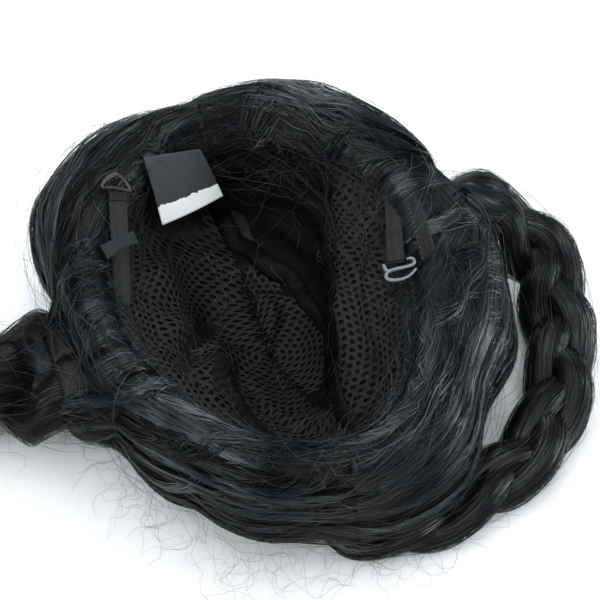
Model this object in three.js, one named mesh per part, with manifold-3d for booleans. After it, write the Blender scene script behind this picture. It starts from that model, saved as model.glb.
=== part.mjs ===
// A black pigtail wig lying crown down on a table, its net cap open to the top.
// Millimetres, +Z up from the table. +Y runs from the brow to the nape and +X towards the wearer's right.
// The origin is on the table, where the parting crosses the flat on which the crown rests.
import * as THREE from "three";
import { mergeVertices } from "three/addons/utils/BufferGeometryUtils.js";
import Module from "manifold-3d";

const wasm = await Module();
wasm.setup();

// Clearances
const fitGap = 0.3; // between pieces that lie against each other
const restGap = 0.9; // under straps and tapes, which bridge the hollows of the net
const partingGap = 0.5; // between the two combed halves of the hair

// Net cap
const capLength = 206; // its opening, brow to nape
const capWidth = 148; // its opening, ear to ear
const capHeight = 76; // mean height of its edge above the table
const crownThickness = 9; // hair between the table and the net
const netWall = 1.2;
const netGapAcross = 6; // one of the gaps that stand for the net's open mesh
const netGapPitch = 18;

// Elastic tape sewn round the cap's edge
const hemHeight = 5;
const hemThickness = 2;

// Combed hair round the cap
const hairSwell = 52; // how far the fullest lock stands out past the cap's edge
const hairRoll = 16; // how high the fullest lock rolls over the cap's edge
const lockCount = 13; // soft ridges combed round the hair
const lockDepth = 2.4;

// Braids, each plaited from three strands
const strandWidth = 25;
const strandDepth = 21;
const plaitSway = 10; // how far a strand swings to each side of the braid's middle
const plaitRise = 5.5; // how far it rises and dips as it crosses
const plaitLength = 128; // one strand's way from an edge back to the same edge
const gatherLength = 8; // plain root of the braid, in the hair, before its strands part

// Tie and loose end of each braid
const neckLength = 10;
const neckRadius = 8;
const tieWidth = 6;
const tieThickness = 2.2;
const tuftLength = 46;
const tuftWidth = 30;

// Adjuster straps and their hooks
const strapWidth = 9;
const strapThickness = 1.1;
const strapFoldLength = 6; // doubled end that holds the hook's bar
const hookWire = 1.7;
const hookWidth = 15;
const catchLength = 6.5; // from the hook's bar to the far side of its catch
const keeperWidth = 7;
const keeperThickness = 0.8;
const sideTapeWidth = 9;

// Folded satin label
const labelWidth = 38;
const labelThickness = 1;

// Facets
const turnSteps = 40; // sections round the cap and its hair
const wallSteps = 7; // rings from the crown to the cap's edge
const rollSteps = 3; // rings over each quarter of the hair's roll
const strandSides = 6;
const strandStep = 17; // along a braid
const ovalSides = 12;
const wireSides = 6;
const stripStep = 5; // along a strap, tape or label

// The cap's edge. reach: share of the opening's ellipse. rise: share of capHeight.
const edgeRows = [
  { turn: 0, reach: 1.06, rise: 0.97 },
  { turn: 24, reach: 1.12, rise: 1.0 },
  { turn: 45, reach: 1.08, rise: 1.04 },
  { turn: 68, reach: 1.0, rise: 1.08 },
  { turn: 92, reach: 0.96, rise: 1.06 },
  { turn: 115, reach: 0.98, rise: 1.03 },
  { turn: 140, reach: 0.97, rise: 1.0 },
  { turn: 165, reach: 0.95, rise: 0.97 },
  { turn: 195, reach: 0.93, rise: 0.95 },
  { turn: 225, reach: 0.9, rise: 0.98 },
  { turn: 250, reach: 0.93, rise: 1.0 },
  { turn: 275, reach: 1.0, rise: 0.98 },
  { turn: 300, reach: 1.02, rise: 0.95 },
  { turn: 330, reach: 1.0, rise: 0.95 },
];

// The cap's wall, from the crown (out 0, up 0) to the edge (out 1, up 1), at three levels of each section.
// out: share of the edge's reach. up: share of the way from the crown's height to the edge's.
const wallRows = [
  { turn: 0, lowOut: 0.47, lowUp: 0.03, midOut: 0.57, midUp: 0.5, highOut: 0.8, highUp: 0.78 },
  { turn: 30, lowOut: 0.5, lowUp: 0.03, midOut: 0.66, midUp: 0.42, highOut: 0.85, highUp: 0.76 },
  { turn: 60, lowOut: 0.5, lowUp: 0.02, midOut: 0.78, midUp: 0.28, highOut: 0.93, highUp: 0.68 },
  { turn: 90, lowOut: 0.5, lowUp: 0.0, midOut: 0.82, midUp: 0.22, highOut: 0.95, highUp: 0.62 },
  { turn: 120, lowOut: 0.4, lowUp: 0.03, midOut: 0.74, midUp: 0.3, highOut: 0.92, highUp: 0.66 },
  { turn: 150, lowOut: 0.28, lowUp: 0.09, midOut: 0.6, midUp: 0.4, highOut: 0.86, highUp: 0.72 },
  { turn: 180, lowOut: 0.26, lowUp: 0.12, midOut: 0.54, midUp: 0.42, highOut: 0.82, highUp: 0.74 },
  { turn: 210, lowOut: 0.28, lowUp: 0.13, midOut: 0.56, midUp: 0.42, highOut: 0.8, highUp: 0.7 },
  { turn: 240, lowOut: 0.32, lowUp: 0.1, midOut: 0.62, midUp: 0.36, highOut: 0.84, highUp: 0.64 },
  { turn: 270, lowOut: 0.38, lowUp: 0.04, midOut: 0.7, midUp: 0.28, highOut: 0.9, highUp: 0.6 },
  { turn: 300, lowOut: 0.42, lowUp: 0.03, midOut: 0.6, midUp: 0.42, highOut: 0.84, highUp: 0.7 },
  { turn: 330, lowOut: 0.44, lowUp: 0.03, midOut: 0.56, midUp: 0.48, highOut: 0.8, highUp: 0.76 },
];

// Folds pushed into the net from outside. share: level of the fold, 0 at the crown and 1 at the edge.
// spread: half its width in degrees. depth: half its height as a share of the wall. lift: share of capHeight.
const foldRows = [
  { turn: 135, share: 0.62, spread: 14, depth: 0.19, lift: 0.11 },
  { turn: 168, share: 0.52, spread: 17, depth: 0.2, lift: 0.12 },
  { turn: 204, share: 0.55, spread: 12, depth: 0.22, lift: 0.11 },
  { turn: 232, share: 0.5, spread: 11, depth: 0.2, lift: 0.1 },
  { turn: 262, share: 0.52, spread: 13, depth: 0.2, lift: 0.09 },
  { turn: 345, share: 0.55, spread: 18, depth: 0.16, lift: 0.05 },
];

// The hair's outline. swell: how far it stands out, share of hairSwell. lean: where its top lies between the
// cap's edge and its fullest point. roll: share of hairRoll. belly: height of the fullest point, share of
// capHeight. foot: where it meets the table, share of its fullest reach.
const hairRows = [
  { turn: 0, swell: 1.02, lean: 0.22, roll: 0.35, belly: 0.5, foot: 0.5 },
  { turn: 22, swell: 0.8, lean: 0.4, roll: 0.5, belly: 0.66, foot: 0.5 },
  { turn: 42, swell: 0.86, lean: 0.45, roll: 0.75, belly: 0.74, foot: 0.5 },
  { turn: 65, swell: 0.7, lean: 0.5, roll: 0.9, belly: 0.76, foot: 0.55 },
  { turn: 88, swell: 0.52, lean: 0.5, roll: 0.6, belly: 0.72, foot: 0.6 },
  { turn: 110, swell: 0.8, lean: 0.4, roll: 0.4, belly: 0.68, foot: 0.55 },
  { turn: 130, swell: 0.98, lean: 0.36, roll: 0.45, belly: 0.6, foot: 0.5 },
  { turn: 155, swell: 0.56, lean: 0.42, roll: 0.5, belly: 0.54, foot: 0.55 },
  { turn: 180, swell: 0.44, lean: 0.45, roll: 0.4, belly: 0.5, foot: 0.6 },
  { turn: 208, swell: 0.38, lean: 0.35, roll: 0.25, belly: 0.4, foot: 0.62 },
  { turn: 238, swell: 0.36, lean: 0.2, roll: 0.2, belly: 0.42, foot: 0.6 },
  { turn: 270, swell: 0.36, lean: 0.2, roll: 0.2, belly: 0.4, foot: 0.58 },
  { turn: 294, swell: 0.7, lean: 0.18, roll: 0.2, belly: 0.42, foot: 0.5 },
  { turn: 312, swell: 0.64, lean: 0.2, roll: 0.24, belly: 0.42, foot: 0.52 },
  { turn: 334, swell: 0.98, lean: 0.18, roll: 0.28, belly: 0.45, foot: 0.5 },
];

// How thick each braid is along its length, from root (0) to tie (1), as shares of the plait's size.
const plaitRows = [
  { along: 0, right: 0.92, left: 1.0 },
  { along: 0.14, right: 1.02, left: 1.68 },
  { along: 0.3, right: 0.98, left: 1.52 },
  { along: 0.5, right: 0.87, left: 1.15 },
  { along: 0.75, right: 0.77, left: 0.84 },
  { along: 1, right: 0.6, left: 0.6 },
];

// Middle line of each braid, from inside the hair to the tie, chosen by hand. out: share of half of capWidth.
// back: share of half of capLength. rise: share of capHeight, where the hair carries the braid.
// rest: share of strandWidth, where it lies on the table.
const rightBraidRows = [
  { out: 1.324, back: 0.35, rise: 0.724, rest: 0 },
  { out: 1.676, back: 0.311, rise: 0.737, rest: 0 },
  { out: 2.054, back: 0.204, rise: 0.592, rest: 0 },
  { out: 2.243, back: -0.049, rise: 0.2, rest: 0.512 },
  { out: 2.149, back: -0.369, rise: 0, rest: 0.64 },
  { out: 1.892, back: -0.733, rise: 0, rest: 0.58 },
  { out: 1.468, back: -1.005, rise: 0, rest: 0.56 },
  { out: 0.986, back: -1.117, rise: 0, rest: 0.528 },
  { out: 0.554, back: -1.165, rise: 0, rest: 0.488 },
  { out: 0.176, back: -1.107, rise: 0, rest: 0.46 },
  { out: -0.122, back: -0.951, rise: 0, rest: 0.46 },
];
const leftBraidRows = [
  { out: -0.838, back: -0.194, rise: 0.434, rest: 0 },
  { out: -1.135, back: -0.049, rise: 0.461, rest: 0 },
  { out: -1.459, back: 0.097, rise: 0.447, rest: 0 },
  { out: -1.811, back: 0.214, rise: 0.395, rest: 0 },
  { out: -2.243, back: 0.33, rise: 0.1, rest: 0.636 },
  { out: -2.73, back: 0.35, rise: 0, rest: 0.74 },
  { out: -3.189, back: 0.214, rise: 0, rest: 0.6 },
  { out: -3.514, back: -0.078, rise: 0, rest: 0.52 },
  { out: -3.676, back: -0.427, rise: 0, rest: 0.46 },
  { out: -3.73, back: -0.757, rise: 0, rest: 0.46 },
];

// Where trim lies on the inside of the cap, from its sewn end to its free one. turn is in degrees, and share
// runs from the crown (0) to the edge (1).
const rightStrapPlace = { from: { turn: 22, share: 0.915 }, to: { turn: -2, share: 0.885 } };
const leftStrapPlace = { from: { turn: 158, share: 0.86 }, to: { turn: 124, share: 0.9 } };
const keeperPlace = { from: { turn: 148, share: 0.965 }, to: { turn: 136, share: 0.83 } };
const sideTapePlace = { from: { turn: 21, share: 0.9 }, to: { turn: -11, share: 0.9 } };
const labelPlace = { from: { turn: 102, share: 0.985 }, to: { turn: 96, share: 0.68 } };

const upward = new THREE.Vector3(0, 0, 1);

// Tables

function hermite(from, slopeFrom, to, slopeTo, x) {
  const x2 = x * x;
  const x3 = x2 * x;
  return (
    (2 * x3 - 3 * x2 + 1) * from +
    (x3 - 2 * x2 + x) * slopeFrom +
    (3 * x2 - 2 * x3) * to +
    (x3 - x2) * slopeTo
  );
}

// A row of a table at any turn, blended smoothly round the circle. The first row's turn is 0.
function rowAt(rows, turn) {
  const wrapped = THREE.MathUtils.euclideanModulo(turn, 360);
  const here = rows.findLastIndex((row) => row.turn <= wrapped);
  const row = (step) => rows[THREE.MathUtils.euclideanModulo(here + step, rows.length)];
  const at = (step) => row(step).turn + 360 * Math.floor((here + step) / rows.length);
  const width = at(1) - at(0);
  const blended = {};
  for (const column of Object.keys(rows[0])) {
    const change = (step) => row(step + 1)[column] - row(step - 1)[column];
    const slope = (step) => (change(step) / (at(step + 1) - at(step - 1))) * width;
    blended[column] = hermite(
      row(0)[column],
      slope(0),
      row(1)[column],
      slope(1),
      (wrapped - at(0)) / width,
    );
  }
  return blended;
}

// The cap's wall

function heading(turn) {
  const angle = THREE.MathUtils.degToRad(turn);
  return new THREE.Vector3(Math.cos(angle), Math.sin(angle), 0);
}

function edgeReach(turn) {
  const way = heading(turn);
  const across = way.x / (capWidth / 2);
  const along = way.y / (capLength / 2);
  return rowAt(edgeRows, turn).reach / Math.hypot(across, along);
}

function edgeRise(turn) {
  return capHeight * rowAt(edgeRows, turn).rise;
}

const crownRise = crownThickness + fitGap + netWall;

// How far the folds push the wall inwards at a turn and share.
function foldLift(turn, share) {
  let lift = 0;
  for (const fold of foldRows) {
    const away = THREE.MathUtils.euclideanModulo(turn - fold.turn + 180, 360) - 180;
    const level = (share - fold.share) / fold.depth;
    lift += fold.lift * capHeight * Math.exp(-((away / fold.spread) ** 2) - level ** 2);
  }
  return lift * (1 - share ** 6);
}

function wallBase(turn, share) {
  const row = rowAt(wallRows, turn);
  const levels = [
    [-row.lowOut, row.lowUp],
    [0, 0],
    [row.lowOut, row.lowUp],
    [row.midOut, row.midUp],
    [row.highOut, row.highUp],
    [1, 1],
    [2 - row.highOut, 2 - row.highUp],
  ];
  const spans = levels.length - 3;
  const place = Math.min(share, 1) * spans;
  const span = Math.min(Math.floor(place), spans - 1);
  const level = (axis) => {
    const [before, from, to, after] = levels.slice(span, span + 4).map((point) => point[axis]);
    return hermite(from, (to - before) / 2, to, (after - from) / 2, place - span);
  };
  const reach = edgeReach(turn) * level(0);
  return heading(turn)
    .multiplyScalar(reach)
    .setZ(crownRise + (edgeRise(turn) - crownRise) * level(1));
}

// Direction out of the hollow, into the hair, at a turn and share of the unfolded wall.
function wallOutward(turn, share) {
  const probe = 0.02;
  const low = Math.max(share - probe, probe);
  const up = wallBase(turn, Math.min(low + 2 * probe, 1)).sub(wallBase(turn, low));
  const around = wallBase(turn + 3, Math.max(share, probe)).sub(wallBase(turn - 3, Math.max(share, probe)));
  return new THREE.Vector3().crossVectors(around, up).normalize();
}

// A point on the inside of the net, or that far behind it, into the hair. A negative depth is in the hollow.
function wallPoint(turn, share, depth = 0) {
  if (share <= 0) return new THREE.Vector3(0, 0, crownRise - depth);
  const outward = wallOutward(turn, share);
  return wallBase(turn, share).addScaledVector(outward, depth - foldLift(turn, share));
}

// Meshes

// A closed skin over rings of equal length, each anticlockwise seen from the next. Poles close its ends; without
// them the last ring joins the first.
function skin(rings, startPole, endPole) {
  const size = rings[0].length;
  const points = rings.flat();
  const faces = [];
  const index = (ring, step) => (ring % rings.length) * size + (step % size);
  const bands = startPole ? rings.length - 1 : rings.length;
  for (let ring = 0; ring < bands; ring++) {
    for (let step = 0; step < size; step++) {
      faces.push(index(ring, step), index(ring, step + 1), index(ring + 1, step));
      faces.push(index(ring, step + 1), index(ring + 1, step + 1), index(ring + 1, step));
    }
  }
  if (startPole) {
    const last = rings.length - 1;
    points.push(startPole, endPole);
    for (let step = 0; step < size; step++) {
      faces.push(index(0, step + 1), index(0, step), points.length - 2);
      faces.push(index(last, step), index(last, step + 1), points.length - 1);
    }
  }
  return new THREE.BufferGeometry().setFromPoints(points).setIndex(faces);
}

function middleOf(ring) {
  return ring.reduce((sum, point) => sum.add(point), new THREE.Vector3()).divideScalar(ring.length);
}

function loft(rings) {
  return skin(rings, middleOf(rings[0]), middleOf(rings.at(-1)));
}

// Solids for cutting and joining

function toSolid(geometry) {
  const bare = geometry.clone().deleteAttribute("normal").deleteAttribute("uv");
  const merged = mergeVertices(bare, 1e-4);
  return new wasm.Manifold(
    new wasm.Mesh({
      numProp: 3,
      vertProperties: new Float32Array(merged.attributes.position.array),
      triVerts: new Uint32Array(merged.index.array),
    }),
  );
}

function toGeometry(solid) {
  const mesh = solid.getMesh();
  return new THREE.BufferGeometry()
    .setAttribute("position", new THREE.BufferAttribute(new Float32Array(mesh.vertProperties), 3))
    .setIndex(new THREE.BufferAttribute(new Uint32Array(mesh.triVerts), 1));
}

function joined(geometries) {
  return geometries.map(toSolid).reduce((whole, piece) => whole.add(piece));
}

const worldReach = 4 * (capLength + capWidth); // larger than the whole wig

function aboveTable(solid) {
  const below = new THREE.BoxGeometry(worldReach, worldReach, worldReach).translate(0, 0, -worldReach / 2);
  return solid.subtract(toSolid(below));
}

// Net cap

function turnsAround() {
  return Array.from({ length: turnSteps }, (_, step) => (360 * step) / turnSteps);
}

function wallRing(share, depth) {
  return turnsAround().map((turn) => wallPoint(turn, share, depth));
}

function netGap(turn, share) {
  const middle = wallPoint(turn, share, netWall / 2);
  const outward = wallOutward(turn, share);
  const prism = new THREE.CylinderGeometry(netGapAcross / 2, netGapAcross / 2, 5 * netWall, 6);
  prism.applyQuaternion(new THREE.Quaternion().setFromUnitVectors(new THREE.Vector3(0, 1, 0), outward));
  return toSolid(prism.translate(middle.x, middle.y, middle.z));
}

function netCapGeometry() {
  const shares = Array.from({ length: wallSteps }, (_, step) => (step + 1) / wallSteps);
  const outside = shares.map((share) => wallRing(share, netWall));
  const inside = shares.toReversed().map((share) => wallRing(share, 0));
  let net = toSolid(skin([...outside, ...inside], wallPoint(0, 0, netWall), wallPoint(0, 0)));
  const wallLength = capHeight + capWidth / 4;
  const rows = Math.floor((0.62 * wallLength) / netGapPitch);
  for (let row = 0; row < rows; row++) {
    const share = 0.3 + (row * netGapPitch) / wallLength;
    const around = Math.PI * (capLength + capWidth) * 0.5 * Math.min(1, 0.35 + 0.65 * share);
    const count = Math.floor(around / (1.5 * netGapPitch));
    for (let step = 0; step < count; step++) {
      net = net.subtract(netGap((360 * (step + (row % 2) / 2)) / count, share));
    }
  }
  return toGeometry(net);
}

// Edge tape: it stands on the net's edge, and the hair lies against its outside.
function hemGeometry() {
  const ring = (depth, lift) =>
    turnsAround().map((turn) =>
      wallPoint(turn, 1, 0).addScaledVector(heading(turn), depth).addScaledVector(upward, lift),
    );
  const outside = netWall;
  const inside = netWall - hemThickness;
  return skin([
    ring(outside, fitGap),
    ring(outside, fitGap + hemHeight),
    ring(inside, fitGap + hemHeight),
    ring(inside, fitGap),
  ]);
}

// Combed hair

// The quarter of an ellipse from one point to another, both in a section's plane as [out, up].
function quarterArc(from, to, bulgeFirst) {
  return Array.from({ length: rollSteps }, (_, step) => {
    const angle = ((step + 1) / rollSteps) * (Math.PI / 2);
    const early = Math.sin(angle);
    const late = 1 - Math.cos(angle);
    const [outShare, upShare] = bulgeFirst ? [early, late] : [late, early];
    return [from[0] + (to[0] - from[0]) * outShare, from[1] + (to[1] - from[1]) * upShare];
  });
}

// The hair's section at a turn, from the table round its outside to the top of the edge tape.
function hairSection(turn) {
  const row = rowAt(hairRows, turn);
  const inner = edgeReach(turn) + netWall + fitGap;
  const innerTop = edgeRise(turn) + fitGap + hemHeight;
  const lock = lockDepth * Math.cos(lockCount * THREE.MathUtils.degToRad(turn));
  const full = inner + hairSwell * row.swell + lock;
  const belly = capHeight * row.belly;
  const foot = [full * row.foot, 0];
  const fullest = [full, belly];
  const top = [inner + (full - inner) * row.lean, innerTop + hairRoll * row.roll];
  return [
    foot,
    ...quarterArc(foot, fullest, true),
    ...quarterArc(fullest, top, false),
    ...quarterArc(top, [inner, innerTop], true).slice(0, -1),
    [inner, innerTop],
  ];
}

// The hollow of the hair: the net's outside and the edge tape's, with a clearance, open to the sky.
function capHollow() {
  const depth = netWall + fitGap;
  const shares = Array.from({ length: wallSteps }, (_, step) => (step + 1) / wallSteps);
  const above = (lift) =>
    turnsAround().map((turn) =>
      heading(turn)
        .multiplyScalar(edgeReach(turn) + depth)
        .setZ(edgeRise(turn) + lift),
    );
  const rings = [...shares.map((share) => wallRing(share, depth)), above(0), above(2 * capHeight)];
  return toSolid(skin(rings, wallPoint(0, 0, depth), new THREE.Vector3(0, 0, 3 * capHeight)));
}

function hairShell() {
  const sections = turnsAround().map((turn) => {
    const way = heading(turn);
    return hairSection(turn).map(([out, up]) => way.clone().multiplyScalar(out).setZ(up));
  });
  const outside = sections[0].map((_, ring) => sections.map((section) => section[ring]));
  const form = skin(outside, new THREE.Vector3(), new THREE.Vector3(0, 0, capHeight));
  return toSolid(form).subtract(capHollow());
}

// Braids

function plaitSize(share, column) {
  const next = Math.max(1, plaitRows.findIndex((row) => row.along >= share));
  const from = plaitRows[next - 1];
  const to = plaitRows[next];
  const blend = THREE.MathUtils.smoothstep(share, from.along, to.along);
  return THREE.MathUtils.lerp(from[column], to[column], blend);
}

// A braid's middle line with the frame of its cross-section: side lies level, over stands across the braid.
function braidLine(rows, column) {
  const points = rows.map((row) => {
    const height = row.rise * capHeight + row.rest * strandWidth;
    return new THREE.Vector3((row.out * capWidth) / 2, (row.back * capLength) / 2, height);
  });
  const curve = new THREE.CatmullRomCurve3(points);
  const length = curve.getLength();
  const at = (along) => {
    const share = THREE.MathUtils.clamp(along / length, 0, 1);
    const ahead = curve.getTangentAt(share);
    const side = new THREE.Vector3().crossVectors(ahead, upward).normalize();
    const over = new THREE.Vector3().crossVectors(side, ahead);
    const middle = curve.getPointAt(share).addScaledVector(ahead, along - share * length);
    const size = plaitSize(share, column);
    return { middle, ahead, side, over, size };
  };
  return { length, at };
}

// An oval ring round a place on the line, anticlockwise seen from ahead.
function ovalRing(place, sideRadius, overRadius, sides, shift = [0, 0]) {
  return Array.from({ length: sides }, (_, step) => {
    const angle = (2 * Math.PI * (step + 0.5)) / sides;
    return place.middle
      .clone()
      .addScaledVector(place.side, shift[0] - sideRadius * Math.cos(angle))
      .addScaledVector(place.over, shift[1] + overRadius * Math.sin(angle));
  });
}

function stepsAlong(from, to, step) {
  const count = Math.ceil((to - from) / step);
  return Array.from({ length: count + 1 }, (_, index) => from + ((to - from) * index) / count);
}

function plaitStops(line) {
  return stepsAlong(gatherLength, line.length, strandStep);
}

function strandGeometry(line, phase) {
  const rings = plaitStops(line).map((along) => {
    const place = line.at(along);
    const angle = (2 * Math.PI * along) / plaitLength + phase;
    const shift = [place.size * plaitSway * Math.sin(angle), place.size * plaitRise * Math.sin(2 * angle)];
    const radii = [(place.size * strandWidth) / 2, (place.size * strandDepth) / 2];
    return ovalRing(place, ...radii, strandSides, shift);
  });
  return loft(rings);
}

const plaitSlack = 1.1; // the strands' corners stand out past the oval of the plait's width and depth

// An oval round the whole braid at a place, grown by a clearance.
function plaitOval(place, clearance) {
  const grow = clearance / Math.cos(Math.PI / ovalSides);
  const wide = plaitSlack * place.size * (plaitSway + strandWidth / 2);
  const deep = plaitSlack * place.size * (plaitRise + strandDepth / 2);
  return ovalRing(place, wide + grow, deep + grow, ovalSides);
}

function braidSolid(line) {
  const strands = [0, 1, 2].map((strand) => strandGeometry(line, (strand * 2 * Math.PI) / 3));
  const [start, next] = plaitStops(line);
  const gather = loft([0, start, next].map((along) => plaitOval(line.at(along), 0)));
  const neckEnds = [line.length - neckLength, line.length + neckLength];
  const neck = loft(neckEnds.map((along) => ovalRing(line.at(along), neckRadius, neckRadius, ovalSides)));
  return joined([gather, ...strands, neck]);
}

const tieInner = (neckRadius + fitGap) / Math.cos(Math.PI / ovalSides);

function tieGeometry(line) {
  const profile = [
    new THREE.Vector2(tieInner, -tieWidth / 2),
    new THREE.Vector2(tieInner + tieThickness, -tieWidth / 2),
    new THREE.Vector2(tieInner + tieThickness, tieWidth / 2),
    new THREE.Vector2(tieInner, tieWidth / 2),
    new THREE.Vector2(tieInner, -tieWidth / 2),
  ];
  const place = line.at(line.length + neckLength / 2);
  const ring = new THREE.LatheGeometry(profile, ovalSides);
  ring.applyQuaternion(new THREE.Quaternion().setFromUnitVectors(new THREE.Vector3(0, 1, 0), place.ahead));
  return ring.translate(place.middle.x, place.middle.y, place.middle.z);
}

// How the loose end swells and thins from the tie to its tip, as shares of its length and width.
const tuftRows = [
  { along: 0, size: 0.56 },
  { along: 0.2, size: 0.86 },
  { along: 0.45, size: 1 },
  { along: 0.7, size: 0.82 },
  { along: 0.88, size: 0.5 },
  { along: 1, size: 0.16 },
];
const tuftLocks = 5;
const tuftGroove = 0.84; // depth of the hollows between its locks
const tuftFlatness = 0.72;

function tuftGeometry(line) {
  const start = line.length + neckLength + fitGap;
  const rings = tuftRows.map((row) => {
    const place = line.at(start + row.along * tuftLength);
    return Array.from({ length: 2 * tuftLocks }, (_, step) => {
      const angle = (Math.PI * (step + 0.5)) / tuftLocks;
      const half = 0.5 * tuftWidth * row.size * (step % 2 ? tuftGroove : 1);
      return place.middle
        .clone()
        .addScaledVector(place.side, -half * Math.cos(angle))
        .addScaledVector(place.over, tuftFlatness * half * Math.sin(angle));
    });
  });
  return loft(rings);
}

// The room that a braid, its tie and its loose end take in the hair.
function braidRoom(line) {
  const tailStart = line.length - neckLength / 2;
  const tailEnd = line.length + neckLength + tuftLength + 2 * fitGap;
  const tailSide = tuftWidth / 2 + 2 * fitGap;
  const tailOver = Math.max(tieInner + tieThickness, tuftFlatness * (tuftWidth / 2)) + 2 * fitGap;
  const stops = [-fitGap, ...plaitStops(line).filter((along) => along < line.length - neckLength)];
  const plait = stops.map((along) => plaitOval(line.at(along), fitGap));
  const tail = stepsAlong(tailStart, tailEnd, strandStep).map((along) =>
    ovalRing(line.at(along), tailSide, tailOver, ovalSides),
  );
  return toSolid(loft([...plait, ...tail]));
}

// The largest body of a solid, without the slivers that a cut leaves.
function largestBody(solid) {
  return solid.decompose().reduce((best, body) => (body.volume() > best.volume() ? body : best));
}

function hairHalfGeometry(side, shell, rooms) {
  const half = new THREE.BoxGeometry(worldReach, worldReach, worldReach);
  half.translate(side * (worldReach / 2 + partingGap / 2), 0, worldReach / 2);
  const hair = rooms.reduce((left, room) => left.subtract(room), shell.intersect(toSolid(half)));
  return toGeometry(largestBody(hair));
}

// Things on the inside of the cap

// A place along a strip on the wall, with its surface frame: across lies on the wall, inward points off it.
function stripPlace(route, share) {
  const turnAt = (t) => THREE.MathUtils.lerp(route.from.turn, route.to.turn, t);
  const levelAt = (t) => THREE.MathUtils.lerp(route.from.share, route.to.share, t);
  const probe = 0.01;
  const turn = turnAt(share);
  const level = levelAt(share);
  const middle = wallPoint(turn, level);
  const ahead = wallPoint(turnAt(share + probe), levelAt(share + probe))
    .sub(wallPoint(turnAt(share - probe), levelAt(share - probe)))
    .normalize();
  const inward = wallOutward(turn, level).negate();
  inward.addScaledVector(ahead, -inward.dot(ahead)).normalize();
  const across = new THREE.Vector3().crossVectors(inward, ahead);
  return { middle, ahead, inward, across, turn, level };
}

// The point of the wall that lies to one side of a strip's middle, raised off the wall.
function besideStrip(place, side, lift) {
  const probe = 0.01;
  const round = wallPoint(place.turn + 1, place.level)
    .sub(wallPoint(place.turn - 1, place.level))
    .divideScalar(2);
  const up = wallPoint(place.turn, place.level + probe).sub(wallPoint(place.turn, place.level - probe));
  up.divideScalar(2 * probe);
  const [roundRound, roundUp, upUp] = [round.dot(round), round.dot(up), up.dot(up)];
  const [sideRound, sideUp] = [side * place.across.dot(round), side * place.across.dot(up)];
  const whole = roundRound * upUp - roundUp * roundUp;
  const turn = place.turn + (sideRound * upUp - sideUp * roundUp) / whole;
  const level = place.level + (sideUp * roundRound - sideRound * roundUp) / whole;
  return wallPoint(turn, level, -lift);
}

function stripLength(route) {
  const steps = 12;
  const points = Array.from({ length: steps + 1 }, (_, step) => stripPlace(route, step / steps).middle);
  return points.slice(1).reduce((sum, point, step) => sum + point.distanceTo(points[step]), 0);
}

// A flat strip along a route on the wall, between two distances off it, from one share of the route to another.
function stripGeometry(route, width, near, far, start = 0, end = 1) {
  const steps = Math.max(2, Math.round((stripLength(route) * (end - start)) / stripStep));
  const rings = Array.from({ length: steps + 1 }, (_, step) => {
    const place = stripPlace(route, THREE.MathUtils.lerp(start, end, step / steps));
    const row = (lift) => [-1, 0, 1].map((side) => besideStrip(place, (side * width) / 2, lift));
    return [...row(near), ...row(far).toReversed()];
  });
  return loft(rings);
}

// The label hangs from the edge and bends with the wall behind it.
function labelGeometry(near, far) {
  const columns = 5;
  const rows = Math.round(stripLength(labelPlace) / stripStep);
  const rings = Array.from({ length: rows + 1 }, (_, step) => {
    const blend = step / rows;
    const turn = THREE.MathUtils.lerp(labelPlace.from.turn, labelPlace.to.turn, blend);
    const share = THREE.MathUtils.lerp(labelPlace.from.share, labelPlace.to.share, blend);
    const middle = wallPoint(turn, share);
    const halfTurn = THREE.MathUtils.radToDeg(labelWidth / 2 / Math.hypot(middle.x, middle.y));
    const row = (lift) =>
      Array.from({ length: columns }, (_, column) => {
        const aside = THREE.MathUtils.lerp(-halfTurn, halfTurn, column / (columns - 1));
        return wallPoint(turn + aside, share, -lift);
      });
    return [...row(far), ...row(near).toReversed()];
  });
  return loft(rings);
}

// A bar or its clearance hole across the end of a strap.
function barGeometry(place, lift, reach, length, radius, sides) {
  const middle = place.middle
    .clone()
    .addScaledVector(place.inward, lift)
    .addScaledVector(place.ahead, reach);
  const bar = new THREE.CylinderGeometry(radius, radius, length, sides);
  bar.applyQuaternion(new THREE.Quaternion().setFromUnitVectors(new THREE.Vector3(0, 1, 0), place.across));
  return bar.translate(middle.x, middle.y, middle.z);
}

// A strap with its doubled end, which wraps the hook's bar.
function strapGeometry(route, near) {
  const end = stripPlace(route, 1);
  const doubled = 1 - strapFoldLength / stripLength(route);
  const eye = hookEye(near);
  const strap = joined([
    stripGeometry(route, strapWidth, near, near + strapThickness),
    stripGeometry(route, strapWidth, near, near + 2 * strapThickness, doubled, 1),
    barGeometry(end, eye.lift, 0, strapWidth, eye.radius, 8),
  ]);
  const barRoom = barGeometry(end, eye.lift, 0, 2 * strapWidth, hookWire / 2 + fitGap, 8);
  return toGeometry(strap.subtract(toSolid(barRoom)));
}

function hookEye(near) {
  const radius = hookWire / 2 + fitGap + strapThickness;
  return { radius, lift: near + radius };
}

// The hook's wire, as shares: side of hookWidth, ahead of catchLength. It starts in a curled tip, runs through
// the strap's end, turns round a horn and comes back as an open catch.
const hookRows = [
  { side: 0.6, ahead: -0.62 },
  { side: 0.64, ahead: -0.22 },
  { side: 0.48, ahead: 0 },
  { side: 0.1, ahead: 0 },
  { side: -0.4, ahead: 0 },
  { side: -0.52, ahead: 0.35 },
  { side: -0.38, ahead: 0.82 },
  { side: 0, ahead: 1 },
  { side: 0.34, ahead: 0.88 },
  { side: 0.54, ahead: 0.45 },
];

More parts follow.
